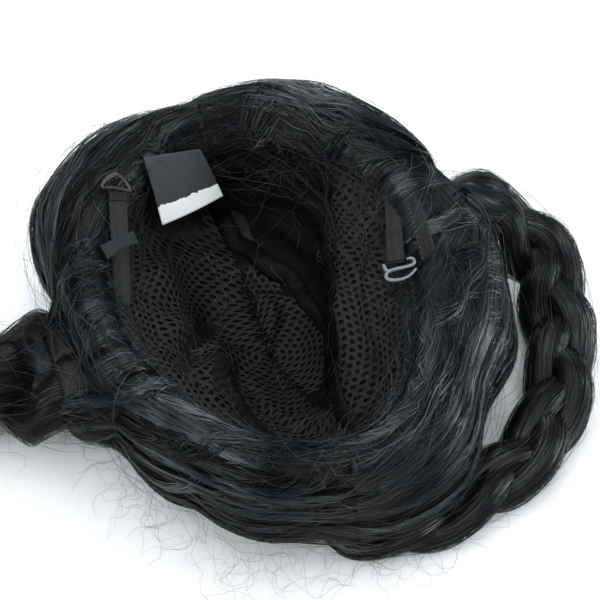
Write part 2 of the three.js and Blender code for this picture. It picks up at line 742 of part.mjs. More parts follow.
function hookGeometry(route, near) {
  const end = stripPlace(route, 1);
  const eye = hookEye(near);
  const at = (row) =>
    end.middle
      .clone()
      .addScaledVector(end.inward, eye.lift)
      .addScaledVector(end.across, row.side * hookWidth)
      .addScaledVector(end.ahead, row.ahead * catchLength);
  const points = hookRows.map(at);
  const rings = points.map((point, step) => {
    const before = points[Math.max(step - 1, 0)];
    const after = points[Math.min(step + 1, points.length - 1)];
    const along = after.clone().sub(before).normalize();
    const beside = new THREE.Vector3().crossVectors(along, end.inward);
    return Array.from({ length: wireSides }, (_, side) => {
      const angle = (2 * Math.PI * side) / wireSides;
      return point
        .clone()
        .addScaledVector(beside, (hookWire / 2) * Math.cos(angle))
        .addScaledVector(end.inward, (-hookWire / 2) * Math.sin(angle));
    });
  });
  return loft(rings);
}

const root = new THREE.Group();

function addPiece(name, geometry, colour, roughness) {
  const flat = geometry.index ? geometry.toNonIndexed() : geometry;
  flat.computeVertexNormals();
  const finish = new THREE.MeshStandardMaterial({ color: colour, roughness, metalness: 0 });
  const piece = new THREE.Mesh(flat, finish);
  piece.name = name;
  root.add(piece);
  return piece;
}

const hairColour = 0x14161a;
const netColour = 0x1b1c1e;
const strapColour = 0x202225;
const clearHookColour = 0xb9bdc0;
const blackHookColour = 0x0d0e0f;
const labelColour = 0x15161a;

const rightLine = braidLine(rightBraidRows, "right");
const leftLine = braidLine(leftBraidRows, "left");
const shell = hairShell();
const rooms = [braidRoom(rightLine), braidRoom(leftLine)];
addPiece("net_cap", netCapGeometry(), netColour, 0.9);
addPiece("edge_tape", hemGeometry(), netColour, 0.85);
addPiece("hair_right", hairHalfGeometry(1, shell, rooms), hairColour, 0.4);
addPiece("hair_left", hairHalfGeometry(-1, shell, rooms), hairColour, 0.4);
for (const [side, line] of [["right", rightLine], ["left", leftLine]]) {
  addPiece(`braid_${side}`, toGeometry(aboveTable(braidSolid(line))), hairColour, 0.4);
  addPiece(`braid_tie_${side}`, tieGeometry(line), netColour, 0.6);
  addPiece(`tuft_${side}`, toGeometry(aboveTable(toSolid(tuftGeometry(line)))), hairColour, 0.4);
}

const onNet = restGap; // off the net
const onTape = onNet + keeperThickness + fitGap; // over the side tape
const sideTape = stripGeometry(sideTapePlace, sideTapeWidth, onNet, onNet + keeperThickness);
addPiece("side_tape_right", sideTape, netColour, 0.8);
addPiece("strap_right", strapGeometry(rightStrapPlace, onTape), strapColour, 0.8);
addPiece("hook_right", hookGeometry(rightStrapPlace, onTape), clearHookColour, 0.35);
addPiece("strap_left", strapGeometry(leftStrapPlace, onNet), strapColour, 0.8);
addPiece("hook_left", hookGeometry(leftStrapPlace, onNet), blackHookColour, 0.35);
const overStrap = onNet + strapThickness + fitGap;
const keeper = stripGeometry(keeperPlace, keeperWidth, overStrap, overStrap + keeperThickness);
addPiece("strap_keeper_left", keeper, netColour, 0.7);
addPiece("care_label", labelGeometry(onNet, onNet + labelThickness), labelColour, 0.5);

export default root;
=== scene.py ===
import logging
import math
from dataclasses import dataclass, field
from enum import Enum
from functools import cache
from typing import Iterable, Sequence

import bmesh
import bpy
import numpy as np
from mathutils import Matrix, Vector
from mathutils.bvhtree import BVHTree


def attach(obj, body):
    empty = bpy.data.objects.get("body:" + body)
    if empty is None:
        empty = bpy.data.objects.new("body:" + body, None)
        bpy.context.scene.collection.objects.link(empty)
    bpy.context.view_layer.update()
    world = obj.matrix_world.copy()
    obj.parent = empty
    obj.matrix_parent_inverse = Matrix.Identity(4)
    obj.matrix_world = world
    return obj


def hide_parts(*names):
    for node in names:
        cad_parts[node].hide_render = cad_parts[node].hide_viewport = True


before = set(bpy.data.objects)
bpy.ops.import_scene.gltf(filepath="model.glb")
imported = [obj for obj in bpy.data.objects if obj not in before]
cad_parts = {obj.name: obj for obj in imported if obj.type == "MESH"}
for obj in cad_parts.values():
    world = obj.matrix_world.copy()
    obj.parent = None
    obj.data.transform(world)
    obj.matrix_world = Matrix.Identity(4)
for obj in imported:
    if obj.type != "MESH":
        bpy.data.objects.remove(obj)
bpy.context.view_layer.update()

MM = 0.001
UP = np.array([0.0, 0.0, 1.0])
TABLE_GAP = 0.4 * MM
FULL_TURN = 2 * np.pi
LOG = logging.getLogger("pigtail_wig")


class Side(Enum):
    """The wearer's side that a piece belongs to."""

    LEFT = "left"
    RIGHT = "right"


class End(Enum):
    """The end of the parting that a lock is combed from."""

    BROW = -90.0
    NAPE = 90.0


# Arrays of places


def unit(vectors: np.ndarray) -> np.ndarray:
    """Scales vectors to a length of one.

    Args:
        vectors: Vectors along the last axis.

    Returns:
        The same directions, one long.
    """
    return vectors / np.maximum(np.linalg.norm(vectors, axis=-1, keepdims=True), 1e-12)


def mix(low: np.ndarray, high: np.ndarray, share: np.ndarray) -> np.ndarray:
    """Returns the value a share of the way from low to high."""
    return low + (high - low) * share


def ease(value: np.ndarray, start: float, end: float) -> np.ndarray:
    """Steps smoothly from 0 to 1.

    Args:
        value: Values to step by.
        start: Where the step leaves 0.
        end: Where it reaches 1.

    Returns:
        The step.
    """
    share = np.clip((value - start) / (end - start), 0.0, 1.0)
    return share * share * (3.0 - 2.0 * share)


def along_axis(points: np.ndarray) -> np.ndarray:
    """Returns the unit direction of travel along the second last axis of a run of points."""
    return unit(np.gradient(points, axis=-2))


def blurred(grid: np.ndarray, spread: float, axis: int, wraps: bool) -> np.ndarray:
    """Smooths a grid along one axis with a bell-shaped weight.

    Args:
        grid: Values to smooth.
        spread: Width of the bell in cells.
        axis: Axis to smooth along.
        wraps: Whether the axis closes on itself.

    Returns:
        The smoothed grid.
    """
    reach = int(math.ceil(3 * spread))
    steps = np.arange(-reach, reach + 1)
    weights = np.exp(-0.5 * (steps / spread) ** 2)
    weights /= weights.sum()
    count = grid.shape[axis]
    total = np.zeros_like(grid)
    for step, weight in zip(steps, weights):
        index = np.arange(count) + step
        index = index % count if wraps else np.clip(index, 0, count - 1)
        total += weight * np.take(grid, index, axis=axis)
    return total


def lookup(grid: np.ndarray, row: np.ndarray, column: np.ndarray) -> np.ndarray:
    """Reads a grid between its cells; rows wrap round and columns stop at the ends.

    Args:
        grid: Values by row and column.
        row: Row places, in cells.
        column: Column places, in cells.

    Returns:
        The interpolated values.
    """
    rows, columns = grid.shape[:2]
    row_low = np.floor(row).astype(int)
    column = np.clip(column, 0, columns - 1.001)
    column_low = np.floor(column).astype(int)
    row_share = row - row_low
    column_share = column - column_low
    ends = []
    for at in (row_low % rows, (row_low + 1) % rows):
        ends.append(grid[at, column_low] * (1 - column_share) + grid[at, column_low + 1] * column_share)
    return ends[0] * (1 - row_share) + ends[1] * row_share


@dataclass
class FibreSet:
    """A set of fibres: their source of random numbers, how many they are and the stations along each."""

    rng: np.random.Generator
    count: int
    stations: int

    @property
    def run(self) -> np.ndarray:
        """Returns the share along a fibre at each station."""
        return np.linspace(0, 1, self.stations)[None, :]

    def even(self, low: float, high: float) -> np.ndarray:
        """Returns an evenly spread random value for each fibre."""
        return self.rng.uniform(low, high, (self.count, 1))

    def bell(self, middle: float, spread: float) -> np.ndarray:
        """Returns a bell-shaped random value for each fibre."""
        return self.rng.normal(middle, spread, (self.count, 1))

    def waves(self, length: float, coil: float) -> np.ndarray:
        """Works out smooth random wandering.

        Args:
            length: Length of a fibre in metres.
            coil: Length of one wave in metres.

        Returns:
            Wander of about one, by fibre and station.
        """
        run = length * self.run
        total = np.zeros((self.count, self.stations))
        for share in (0.37, 1.0, 1.9):
            turns = FULL_TURN * share / coil * self.even(0.75, 1.25)
            total += np.sin(turns * run + self.even(0, FULL_TURN)) / (share + 0.4)
        return total / 1.6


# Meshes


def grid_mesh(points: np.ndarray, closed: bool = False, capped: bool = False) -> bmesh.types.BMesh:
    """Lays a grid of faces over rows and columns of places.

    Args:
        points: Places by row and column.
        closed: Whether each row closes into a ring.
        capped: Whether the first and last rings are filled.

    Returns:
        The shaped mesh, with UV x along a row and UV y from row to row.
    """
    if closed:
        points = np.concatenate([points, points[:, :1]], axis=1)
    rows, columns = points.shape[:2]
    mesh = bmesh.new()
    mesh.loops.layers.uv.new("UVMap")
    bmesh.ops.create_grid(mesh, x_segments=columns - 1, y_segments=rows - 1, size=0.5, calc_uvs=True)
    mesh.verts.ensure_lookup_table()
    for vert, place in zip(mesh.verts, points.reshape(-1, 3)):
        vert.co = place
    if closed:
        seam = {mesh.verts[row * columns + columns - 1]: mesh.verts[row * columns] for row in range(rows)}
        bmesh.ops.weld_verts(mesh, targetmap=seam)
    if capped:
        bmesh.ops.holes_fill(mesh, edges=[edge for edge in mesh.edges if edge.is_boundary], sides=0)
        bmesh.ops.recalc_face_normals(mesh, faces=mesh.faces[:])
    return mesh


def add_piece(
    name: str,
    mesh: bmesh.types.BMesh,
    material: bpy.types.Material,
    nodes: Sequence[str] = (),
    smooth: bool = True,
) -> bpy.types.Object:
    """Turns a shaped mesh into a piece of the wig.

    Args:
        name: Name of the piece.
        mesh: The shape, freed here.
        material: Finish of the piece.
        nodes: CAD nodes that the piece stands for.
        smooth: Whether its faces are shaded smooth.

    Returns:
        The piece, riding on the wig.
    """
    data = bpy.data.meshes.new(name)
    mesh.to_mesh(data)
    mesh.free()
    if smooth:
        data.shade_smooth()
    return add_object(name, data, material, nodes)


def add_object(
    name: str, data: bpy.types.Mesh, material: bpy.types.Material, nodes: Sequence[str] = ()
) -> bpy.types.Object:
    """Links a mesh as a piece that rides on the wig.

    Args:
        name: Name of the piece.
        data: Its mesh.
        material: Its finish.
        nodes: CAD nodes that the piece stands for.

    Returns:
        The piece.
    """
    data.materials.append(material)
    piece = bpy.data.objects.new(name, data)
    bpy.context.scene.collection.objects.link(piece)
    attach(piece, "root")
    if nodes:
        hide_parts(*nodes)
    LOG.info("piece %s", name)
    return piece


def remeshed(piece: bpy.types.Object, cell: float, passes: int, calm: float) -> None:
    """Gives a dense form even faces and softer edges.

    Args:
        piece: The form.
        cell: Size of its new faces.
        passes: How often they are smoothed.
        calm: How strongly.
    """
    even = piece.modifiers.new("Even", "REMESH")
    even.mode = "VOXEL"
    even.voxel_size = cell
    smooth = piece.modifiers.new("Calm", "SMOOTH")
    smooth.iterations = passes
    smooth.factor = calm
    view = bpy.context.evaluated_depsgraph_get()
    data = bpy.data.meshes.new_from_object(piece.evaluated_get(view))
    piece.modifiers.clear()
    piece.data = data
    data.shade_smooth()


def merged_copy(*nodes: str) -> bmesh.types.BMesh:
    """Copies CAD nodes and merges their loose triangles.

    Args:
        nodes: Names of the nodes.

    Returns:
        Their joined shape.
    """
    mesh = bmesh.new()
    for node in nodes:
        mesh.from_mesh(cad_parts[node].data)
    bmesh.ops.remove_doubles(mesh, verts=mesh.verts[:], dist=1e-5)
    return mesh


def node_places(node: str) -> np.ndarray:
    """Reads a CAD node's corners.

    Args:
        node: Name of the node.

    Returns:
        Their places.
    """
    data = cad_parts[node].data
    places = np.empty(len(data.vertices) * 3)
    data.vertices.foreach_get("co", places)
    return places.reshape(-1, 3)


def joined_mesh(parts: Iterable[bmesh.types.BMesh]) -> bmesh.types.BMesh:
    """Joins meshes into one and frees them.

    Args:
        parts: The meshes.

    Returns:
        The joined mesh.
    """
    mesh = bmesh.new()
    for part in parts:
        data = bpy.data.meshes.new("part")
        part.to_mesh(data)
        part.free()
        mesh.from_mesh(data)
        bpy.data.meshes.remove(data)
    return mesh


def ribbon_mesh(
    name: str, middles: np.ndarray, facing: np.ndarray, widths: np.ndarray, tones: np.ndarray
) -> bpy.types.Mesh:
    """Builds many fine flat fibres as one mesh.

    Args:
        name: Name of the mesh.
        middles: Middle lines, by fibre, station and axis.
        facing: Outward directions, by fibre, station and axis.
        widths: Half widths, by fibre and station.
        tones: One value from 0 to 1 for each fibre.

    Returns:
        The mesh, with UV x along the fibre and UV y its tone.
    """
    count, stations = middles.shape[:2]
    ahead = along_axis(middles)
    across = unit(np.cross(facing, ahead)) * widths[..., None]
    rows = np.stack([middles - across, middles + across], axis=1).reshape(-1, 3)
    mesh = bmesh.new()
    bmesh.ops.create_grid(mesh, x_segments=stations - 1, y_segments=2 * count - 1, size=0.5)
    mesh.faces.ensure_lookup_table()
    spare = []
    for face in mesh.faces:
        if (face.verts[0].index // stations + face.verts[2].index // stations) % 4 == 3:
            spare.append(face)
    bmesh.ops.delete(mesh, geom=spare, context="FACES")
    data = bpy.data.meshes.new(name)
    mesh.to_mesh(data)
    mesh.free()
    data.vertices.foreach_set("co", rows.ravel())
    index = np.empty(len(data.loops), int)
    data.loops.foreach_get("vertex_index", index)
    along = (index % stations) / (stations - 1)
    layer = data.uv_layers.new(name="UVMap")
    layer.data.foreach_set("uv", np.stack([along, tones[index // stations // 2]], axis=1).ravel())
    data.shade_smooth()
    data.update()
    return data


def thread_mesh(name: str, middles: np.ndarray, radii: np.ndarray, tones: np.ndarray) -> bpy.types.Mesh:
    """Builds many fine three-sided hairs as one mesh.

    Args:
        name: Name of the mesh.
        middles: Middle lines, by hair, station and axis.
        radii: Radius at each station, by hair and station.
        tones: One value from 0 to 1 for each hair.

    Returns:
        The mesh, with UV x along the hair and UV y its tone.
    """
    count, stations = middles.shape[:2]
    ahead = along_axis(middles)
    first = unit(np.cross(ahead, UP + 0.31 * ahead[..., ::-1]))
    second = np.cross(ahead, first)
    corners = []
    for turn in (0.0, 2 * np.pi / 3, 4 * np.pi / 3, 0.0):
        corners.append(middles + radii[..., None] * (np.cos(turn) * first + np.sin(turn) * second))
    rows = np.stack(corners, axis=1).reshape(-1, 3)
    mesh = bmesh.new()
    bmesh.ops.create_grid(mesh, x_segments=stations - 1, y_segments=4 * count - 1, size=0.5)
    mesh.verts.ensure_lookup_table()
    spare = []
    for face in mesh.faces:
        row = min(vert.index for vert in face.verts) // stations
        if row % 4 == 3:
            spare.append(face)
    bmesh.ops.delete(mesh, geom=spare, context="FACES")
    mesh.verts.ensure_lookup_table()
    for vert, place in zip(mesh.verts, rows):
        vert.co = place
    seam = {}
    for hair in range(count):
        for station in range(stations):
            last = mesh.verts[(4 * hair + 3) * stations + station]
            seam[last] = mesh.verts[4 * hair * stations + station]
    layer = mesh.loops.layers.uv.new("UVMap")
    for face in mesh.faces:
        for loop in face.loops:
            row, station = divmod(loop.vert.index, stations)
            loop[layer].uv = (station / (stations - 1), tones[row // 4])
    bmesh.ops.weld_verts(mesh, targetmap=seam)
    bmesh.ops.reverse_faces(mesh, faces=mesh.faces[:])
    data = bpy.data.meshes.new(name)
    mesh.to_mesh(data)
    mesh.free()
    data.shade_smooth()
    return data


# Finishes

Colour = tuple[float, float, float]
Value = float | tuple[float, ...] | bpy.types.NodeSocket
FAINT_GLOSS = 0.04
COOL_TINT = (0.84, 0.95, 1.0, 1.0)


@dataclass
class Wiring:
    """Adds nodes to the tree of a material or of a shared group."""

    tree: bpy.types.NodeTree

    def feed(self, socket: bpy.types.NodeSocket, value: Value) -> None:
        """Links an output to an input, or sets the input to a value.

        Args:
            socket: The input.
            value: What it gets.
        """
        if isinstance(value, bpy.types.NodeSocket):
            self.tree.links.new(value, socket)
        else:
            socket.default_value = value

    def node(self, kind: str, inputs: dict[str | int, Value], **settings: object) -> bpy.types.Node:
        """Adds a node.

        Args:
            kind: Its type.
            inputs: What its inputs get.
            settings: Its own settings, made first.

        Returns:
            The node.
        """
        node = self.tree.nodes.new(f"ShaderNode{kind}")
        for name, value in settings.items():
            setattr(node, name, value)
        for name, value in inputs.items():
            self.feed(node.inputs[name], value)
        return node

    def maths(self, operation: str, *values: Value) -> bpy.types.NodeSocket:
        """Returns the output of a sum."""
        return self.node("Math", dict(enumerate(values)), operation=operation).outputs["Value"]

    def noise(self, vector: Value, scale: Value, detail: float, roughness: float = 0.5) -> bpy.types.NodeSocket:
        """Returns the output of soft noise."""
        inputs = {"Vector": vector, "Scale": scale, "Detail": detail, "Roughness": roughness}
        return self.node("TexNoise", inputs).outputs["Fac"]

    def span(
        self, value: Value, low: float, high: float, start: float = 0.0, end: float = 1.0
    ) -> bpy.types.NodeSocket:
        """Returns the output that maps start to end onto low to high."""
        inputs = {"Value": value, "From Min": start, "From Max": end, "To Min": low, "To Max": high}
        return self.node("MapRange", inputs).outputs["Result"]

    def blend(self, share: Value, low: Colour, high: Colour) -> bpy.types.NodeSocket:
        """Returns the colour output that goes from low to high with a share."""
        inputs = {"Factor": share, "A": (*low, 1.0), "B": (*high, 1.0)}
        return self.node("Mix", inputs, data_type="RGBA").outputs["Result"]

    def relief(self, height: Value, depth: float) -> bpy.types.NodeSocket:
        """Returns the normal of a surface with a relief of a depth in metres."""
        return self.node("Bump", {"Height": height, "Distance": depth}).outputs["Normal"]

    def coordinates(self, name: str) -> bpy.types.NodeSocket:
        """Returns one of the piece's coordinates."""
        return self.node("TexCoord", {}).outputs[name]

    def placed(self, group: bpy.types.NodeTree, vector: str, inputs: dict[str, Value]) -> bpy.types.NodeSocket:
        """Places a shared group in a material.

        Args:
            group: The group.
            vector: The piece's coordinates that it reads.
            inputs: What its other inputs get.

        Returns:
            The group's output.
        """
        inputs = {"Vector": self.coordinates(vector), **inputs}
        return self.node("Group", inputs, node_tree=group).outputs[0]


def start_group(
    name: str, inputs: Sequence[str], output: str
) -> tuple[Wiring, bpy.types.NodeOutputs, bpy.types.NodeSocket]:
    """Starts a shared group with a vector input, number inputs and one number output.

    Args:
        name: Name of the group.
        inputs: Names of its number inputs.
        output: Name of its output.

    Returns:
        Its wiring, what it is given, and the socket that leads out of it.
    """
    group = bpy.data.node_groups.new(name, "ShaderNodeTree")
    group.interface.new_socket("Vector", in_out="INPUT", socket_type="NodeSocketVector")
    for title in inputs:
        group.interface.new_socket(title, in_out="INPUT", socket_type="NodeSocketFloat")
    group.interface.new_socket(output, in_out="OUTPUT", socket_type="NodeSocketFloat")
    given = group.nodes.new("NodeGroupInput").outputs
    return Wiring(group), given, group.nodes.new("NodeGroupOutput").inputs[output]


@cache
def fibre_streaks() -> bpy.types.NodeTree:
    """Makes the group that draws fine streaks along a surface's fibres.

    Returns:
        The shared group.
    """
    wires, given, tone = start_group("FibreStreaks", ("Across", "Along"), "Tone")
    stretch = wires.node("CombineXYZ", {"X": given["Across"], "Y": given["Along"], "Z": given["Along"]})
    factors = {0: given["Vector"], 1: stretch.outputs["Vector"]}
    scaled = wires.node("VectorMath", factors, operation="MULTIPLY")
    noise = wires.noise(scaled.outputs["Vector"], 1.0, 3.0, 0.7)
    wires.feed(tone, wires.span(noise, 0.0, 1.0, 0.3, 0.7))
    return wires.tree


@cache
def wear_speckle() -> bpy.types.NodeTree:
    """Makes the group that gives faint uneven patches and fine grain.

    Returns:
        The shared group.
    """
    wires, given, tone = start_group("Speckle", ("Scale",), "Tone")
    wires.feed(tone, wires.noise(given["Vector"], given["Scale"], 4.0))
    return wires.tree


@cache
def sheen_patches() -> bpy.types.NodeTree:
    """Makes the group that splits the hair into glossy and dull areas a few centimetres across.

    Returns:
        The shared group.
    """
    wires, given, sheen = start_group("SheenPatches", ("Scale", "Tone"), "Sheen")
    noise = wires.noise(given["Vector"], given["Scale"], 1.5)
    wires.feed(sheen, wires.maths("MULTIPLY", wires.span(noise, 0.12, 1.0, 0.36, 0.64), given["Tone"]))
    return wires.tree


@cache
def woven_threads() -> bpy.types.NodeTree:
    """Makes the group that weaves fine threads over a piece's own UV map.

    Returns:
        The shared group.
    """
    wires, given, height = start_group("WovenThreads", ("Ribs", "Picks"), "Height")
    parts = wires.node("SeparateXYZ", {"Vector": given["Vector"]}).outputs
    threads = []
    for axis, amount in (("X", "Ribs"), ("Y", "Picks")):
        turns = wires.maths("MULTIPLY", parts[axis], given[amount])
        threads.append(wires.maths("COSINE", wires.maths("MULTIPLY", turns, 2 * math.pi)))
    both = wires.maths("MULTIPLY_ADD", threads[1], 0.35, threads[0])
    wires.feed(height, wires.maths("MULTIPLY_ADD", both, 0.37, 0.5))
    return wires.tree


@dataclass(frozen=True)
class Finish:
    """The finish of some pieces, whose material is made once and shared."""

    name: str

    @cache
    def material(self) -> bpy.types.Material:
        """Makes the material at its first use.

        Returns:
            The material.
        """
        material = bpy.data.materials.new(self.name)
        material.use_nodes = True
        wires = Wiring(material.node_tree)
        shader = material.node_tree.nodes["Principled BSDF"]
        for name, value in self.inputs(wires).items():
            wires.feed(shader.inputs[name], value)
        return material

    def inputs(self, wires: Wiring) -> dict[str, Value]:
        """Returns what the shader's inputs get."""
        raise NotImplementedError


@dataclass(frozen=True)
class FibreFinish(Finish):
    """Black synthetic hair, fibre by fibre: the tone of each one is its UV y."""

    dark: Colour = (0.002, 0.0022, 0.0027)
    light: Colour = (0.0078, 0.0105, 0.0132)
    smoothest: float = 0.24
    roughest: float = 0.46
    dull: float = 0.03
    gloss: float = 0.95
    sheen_roughness: float = 0.31
    sheen_ior: float = 1.78
    patches: float = 28.0

    def inputs(self, wires: Wiring) -> dict[str, Value]:
        """Wires the fibres' tones and the glossy patches.

        Args:
            wires: The material's wiring.

        Returns:
            What the shader's inputs get.
        """
        tone = wires.node("SeparateXYZ", {"Vector": wires.coordinates("UV")}).outputs["Y"]
        sheen = wires.placed(sheen_patches(), "Object", {"Scale": self.patches, "Tone": tone})
        return {
            "Base Color": wires.blend(tone, self.dark, self.light),
            "Roughness": wires.span(tone, self.roughest, self.smoothest),
            "Coat Weight": wires.span(sheen, self.dull, self.gloss),
            "Coat Roughness": self.sheen_roughness,
            "Coat IOR": self.sheen_ior,
            "Specular IOR Level": FAINT_GLOSS,
            "Specular Tint": COOL_TINT,
        }


@dataclass(frozen=True)
class CoreFinish(Finish):
    """The dense hair below the loose fibres, streaked along them, a little darker and duller than the fibres as
    painted shade in the gaps between locks.
    """

    vector: str = "Object"
    across: float = 900.0
    along: float = 60.0
    depth: float = 0.6 * MM
    # Painted shade in part: these tones sit below the fibres' so the gaps between locks read dark.
    dark: Colour = (0.0015, 0.0017, 0.002)
    light: Colour = (0.007, 0.008, 0.0098)

    def inputs(self, wires: Wiring) -> dict[str, Value]:
        """Wires the streaks.

        Args:
            wires: The material's wiring.

        Returns:
            What the shader's inputs get.
        """
        tone = wires.placed(fibre_streaks(), self.vector, {"Across": self.across, "Along": self.along})
        return {
            "Base Color": wires.blend(tone, self.dark, self.light),
            "Roughness": wires.span(tone, 0.6, 0.38),
            "Coat Weight": wires.span(tone, 0.02, 0.34),
            "Coat Roughness": 0.42,
            "Coat IOR": 1.76,
            "Specular IOR Level": FAINT_GLOSS,
            "Normal": wires.relief(tone, self.depth),
        }


@dataclass(frozen=True)
class NetFinish(Finish):
    """Knitted net yarn, or the plain dark cloth behind it, whose near-black tones are partly painted shade."""

    dark: Colour = (0.005, 0.0052, 0.0058)
    light: Colour = (0.016, 0.0166, 0.018)
    roughness: float = 0.62
    gloss: float = 0.2
    grain: float = 2600.0

    def inputs(self, wires: Wiring) -> dict[str, Value]:
        """Wires the yarn's grain.

        Args:
            wires: The material's wiring.

        Returns:
            What the shader's inputs get.
        """
        tone = wires.placed(wear_speckle(), "Object", {"Scale": self.grain})
        return {
            "Base Color": wires.blend(tone, self.dark, self.light),
            "Roughness": self.roughness,
            "Specular IOR Level": self.gloss,
            "Normal": wires.relief(tone, 0.3 * MM),
        }


@dataclass(frozen=True)
class WebbingFinish(Finish):
    """Woven tape or ribbed elastic, along the strip's own UV map."""

    ribs: float
    picks: float
    dark: Colour = (0.008, 0.0085, 0.01)
    light: Colour = (0.032, 0.034, 0.038)
    roughness: float = 0.62

    def inputs(self, wires: Wiring) -> dict[str, Value]:
        """Wires the weave.

        Args:
            wires: The material's wiring.

        Returns:
            What the shader's inputs get.
        """
        height = wires.placed(woven_threads(), "UV", {"Ribs": self.ribs, "Picks": self.picks})
        return {
            "Base Color": wires.blend(height, self.dark, self.light),
            "Roughness": self.roughness,
            "Specular IOR Level": 0.25,
            "Normal": wires.relief(height, 0.3 * MM),
        }


@dataclass(frozen=True)
class PlasticFinish(Finish):
    """Moulded plastic of a hook."""

    dark: Colour
    light: Colour
    smoothest: float
    roughest: float

    def inputs(self, wires: Wiring) -> dict[str, Value]:
        """Wires the faint marks of wear.

        Args:
            wires: The material's wiring.

        Returns:
            What the shader's inputs get.
        """
        tone = wires.placed(wear_speckle(), "Object", {"Scale": 700.0})
        return {
            "Base Color": wires.blend(tone, self.dark, self.light),
            "Roughness": wires.span(tone, self.smoothest, self.roughest),
        }


@dataclass(frozen=True)
class TableFinish(Finish):
    """Plain pale table."""

    dark: Colour = (0.86, 0.86, 0.87)
    light: Colour = (0.9, 0.895, 0.89)

    def inputs(self, wires: Wiring) -> dict[str, Value]:
        """Returns what the shader's inputs get."""
        tone = wires.placed(wear_speckle(), "Object", {"Scale": 3.0})
        return {"Base Color": wires.blend(tone, self.dark, self.light), "Roughness": 0.6}


@dataclass(frozen=True)
class LabelFinish(Finish):
    """Black satin ribbon with a bare white lower band and a ragged edge between them."""

    band: float = 0.72
    ragged: float = 0.05
    fray: float = 0.012
    dark: Colour = (0.022, 0.023, 0.027)
    light: Colour = (0.048, 0.05, 0.056)
    white: Colour = (0.95, 0.95, 0.94)

    def inputs(self, wires: Wiring) -> dict[str, Value]:
        """Wires the satin and the band.

        Args:
            wires: The material's wiring.

        Returns:
            What the shader's inputs get.
        """
        weave = wires.placed(woven_threads(), "UV", {"Ribs": 150.0, "Picks": 110.0})
        place = wires.coordinates("UV")
        level = wires.node("SeparateXYZ", {"Vector": place}).outputs["Y"]
        shifted = wires.maths("MULTIPLY_ADD", wires.noise(place, 16.0, 2.0), 2 * self.ragged, level)
        start = self.band + self.ragged
        colours = {
            "Factor": wires.span(shifted, 0.0, 1.0, start, start + self.fray),
            "A": wires.blend(weave, self.dark, self.light),
            "B": (*self.white, 1.0),
        }
        return {
            "Base Color": wires.node("Mix", colours, data_type="RGBA").outputs["Result"],
            "Roughness": 0.42,
            "Normal": wires.relief(weave, 0.08 * MM),
        }


# The cap


@dataclass
class CapEdge:
    """The line of the cap's edge, read from the tape sewn round it."""

    middle: tuple[float, float] = (0.006, 0.0)
    order: int = 9

    def __post_init__(self) -> None:
        """Fits smooth waves to the tape's corners."""
        places = node_places("edge_tape")
        turns = np.arctan2(places[:, 1] - self.middle[1], places[:, 0] - self.middle[0])
        reach = np.hypot(places[:, 0] - self.middle[0], places[:, 1] - self.middle[1])
        fit = self.terms(turns)
        self.reach_fit = np.linalg.lstsq(fit, reach, rcond=None)[0]
        self.rise_fit = np.linalg.lstsq(fit, places[:, 2], rcond=None)[0]

    def terms(self, turns: np.ndarray) -> np.ndarray:
        """Works out the waves that the edge is made of.

        Args:
            turns: Turns round the cap.

        Returns:
            The waves, along a last axis.
        """
        parts = [np.ones_like(turns)]
        for wave in range(1, self.order + 1):
            parts += [np.cos(wave * turns), np.sin(wave * turns)]
        return np.stack(parts, axis=-1)

    def reach(self, turns: np.ndarray) -> np.ndarray:
        """Returns the edge's distance from the cap's axis."""
        return self.terms(turns) @ self.reach_fit

    def rise(self, turns: np.ndarray) -> np.ndarray:
        """Returns the edge's height."""
        return self.terms(turns) @ self.rise_fit

    def outward(self, turns: np.ndarray) -> np.ndarray:
        """Returns the level directions away from the cap's axis."""
        return np.stack([np.cos(turns), np.sin(turns), np.zeros_like(turns)], axis=-1)

    def place(self, turns: np.ndarray) -> np.ndarray:
        """Returns the places of the edge."""
        base = np.array([*self.middle, 0.0])
        return base + self.outward(turns) * self.reach(turns)[..., None] + UP * self.rise(turns)[..., None]


@dataclass(frozen=True)
class Crease:
    """A fold that stands up off the cap's wall along a line of turns in degrees and shares."""

    line: tuple[tuple[float, float], ...]
    height: float
    above: float
    below: float

    def lift(self, turn: np.ndarray, share: np.ndarray) -> np.ndarray:
        """Works out how far the fold lifts the wall.

        Args:
            turn: Turns in radians.
            share: Shares of the wall.

        Returns:
            The lift at each.
        """
        turns = np.array([point[0] for point in self.line])
        shares = np.array([point[1] for point in self.line])
        middle = (turns[0] + turns[-1]) / 2
        around = (np.degrees(turn) - middle + 180.0) % 360.0 - 180.0 + middle
        away = share - np.interp(around, turns, shares)
        width = np.where(away > 0, self.above, self.below)
        soft = 0.18 * (turns[-1] - turns[0])
        ends = ease(around, turns[0] - soft, turns[0] + soft)
        ends = ends * (1 - ease(around, turns[-1] - soft, turns[-1] + soft))
        return self.height * np.exp(-((away / width) ** 2)) * ends


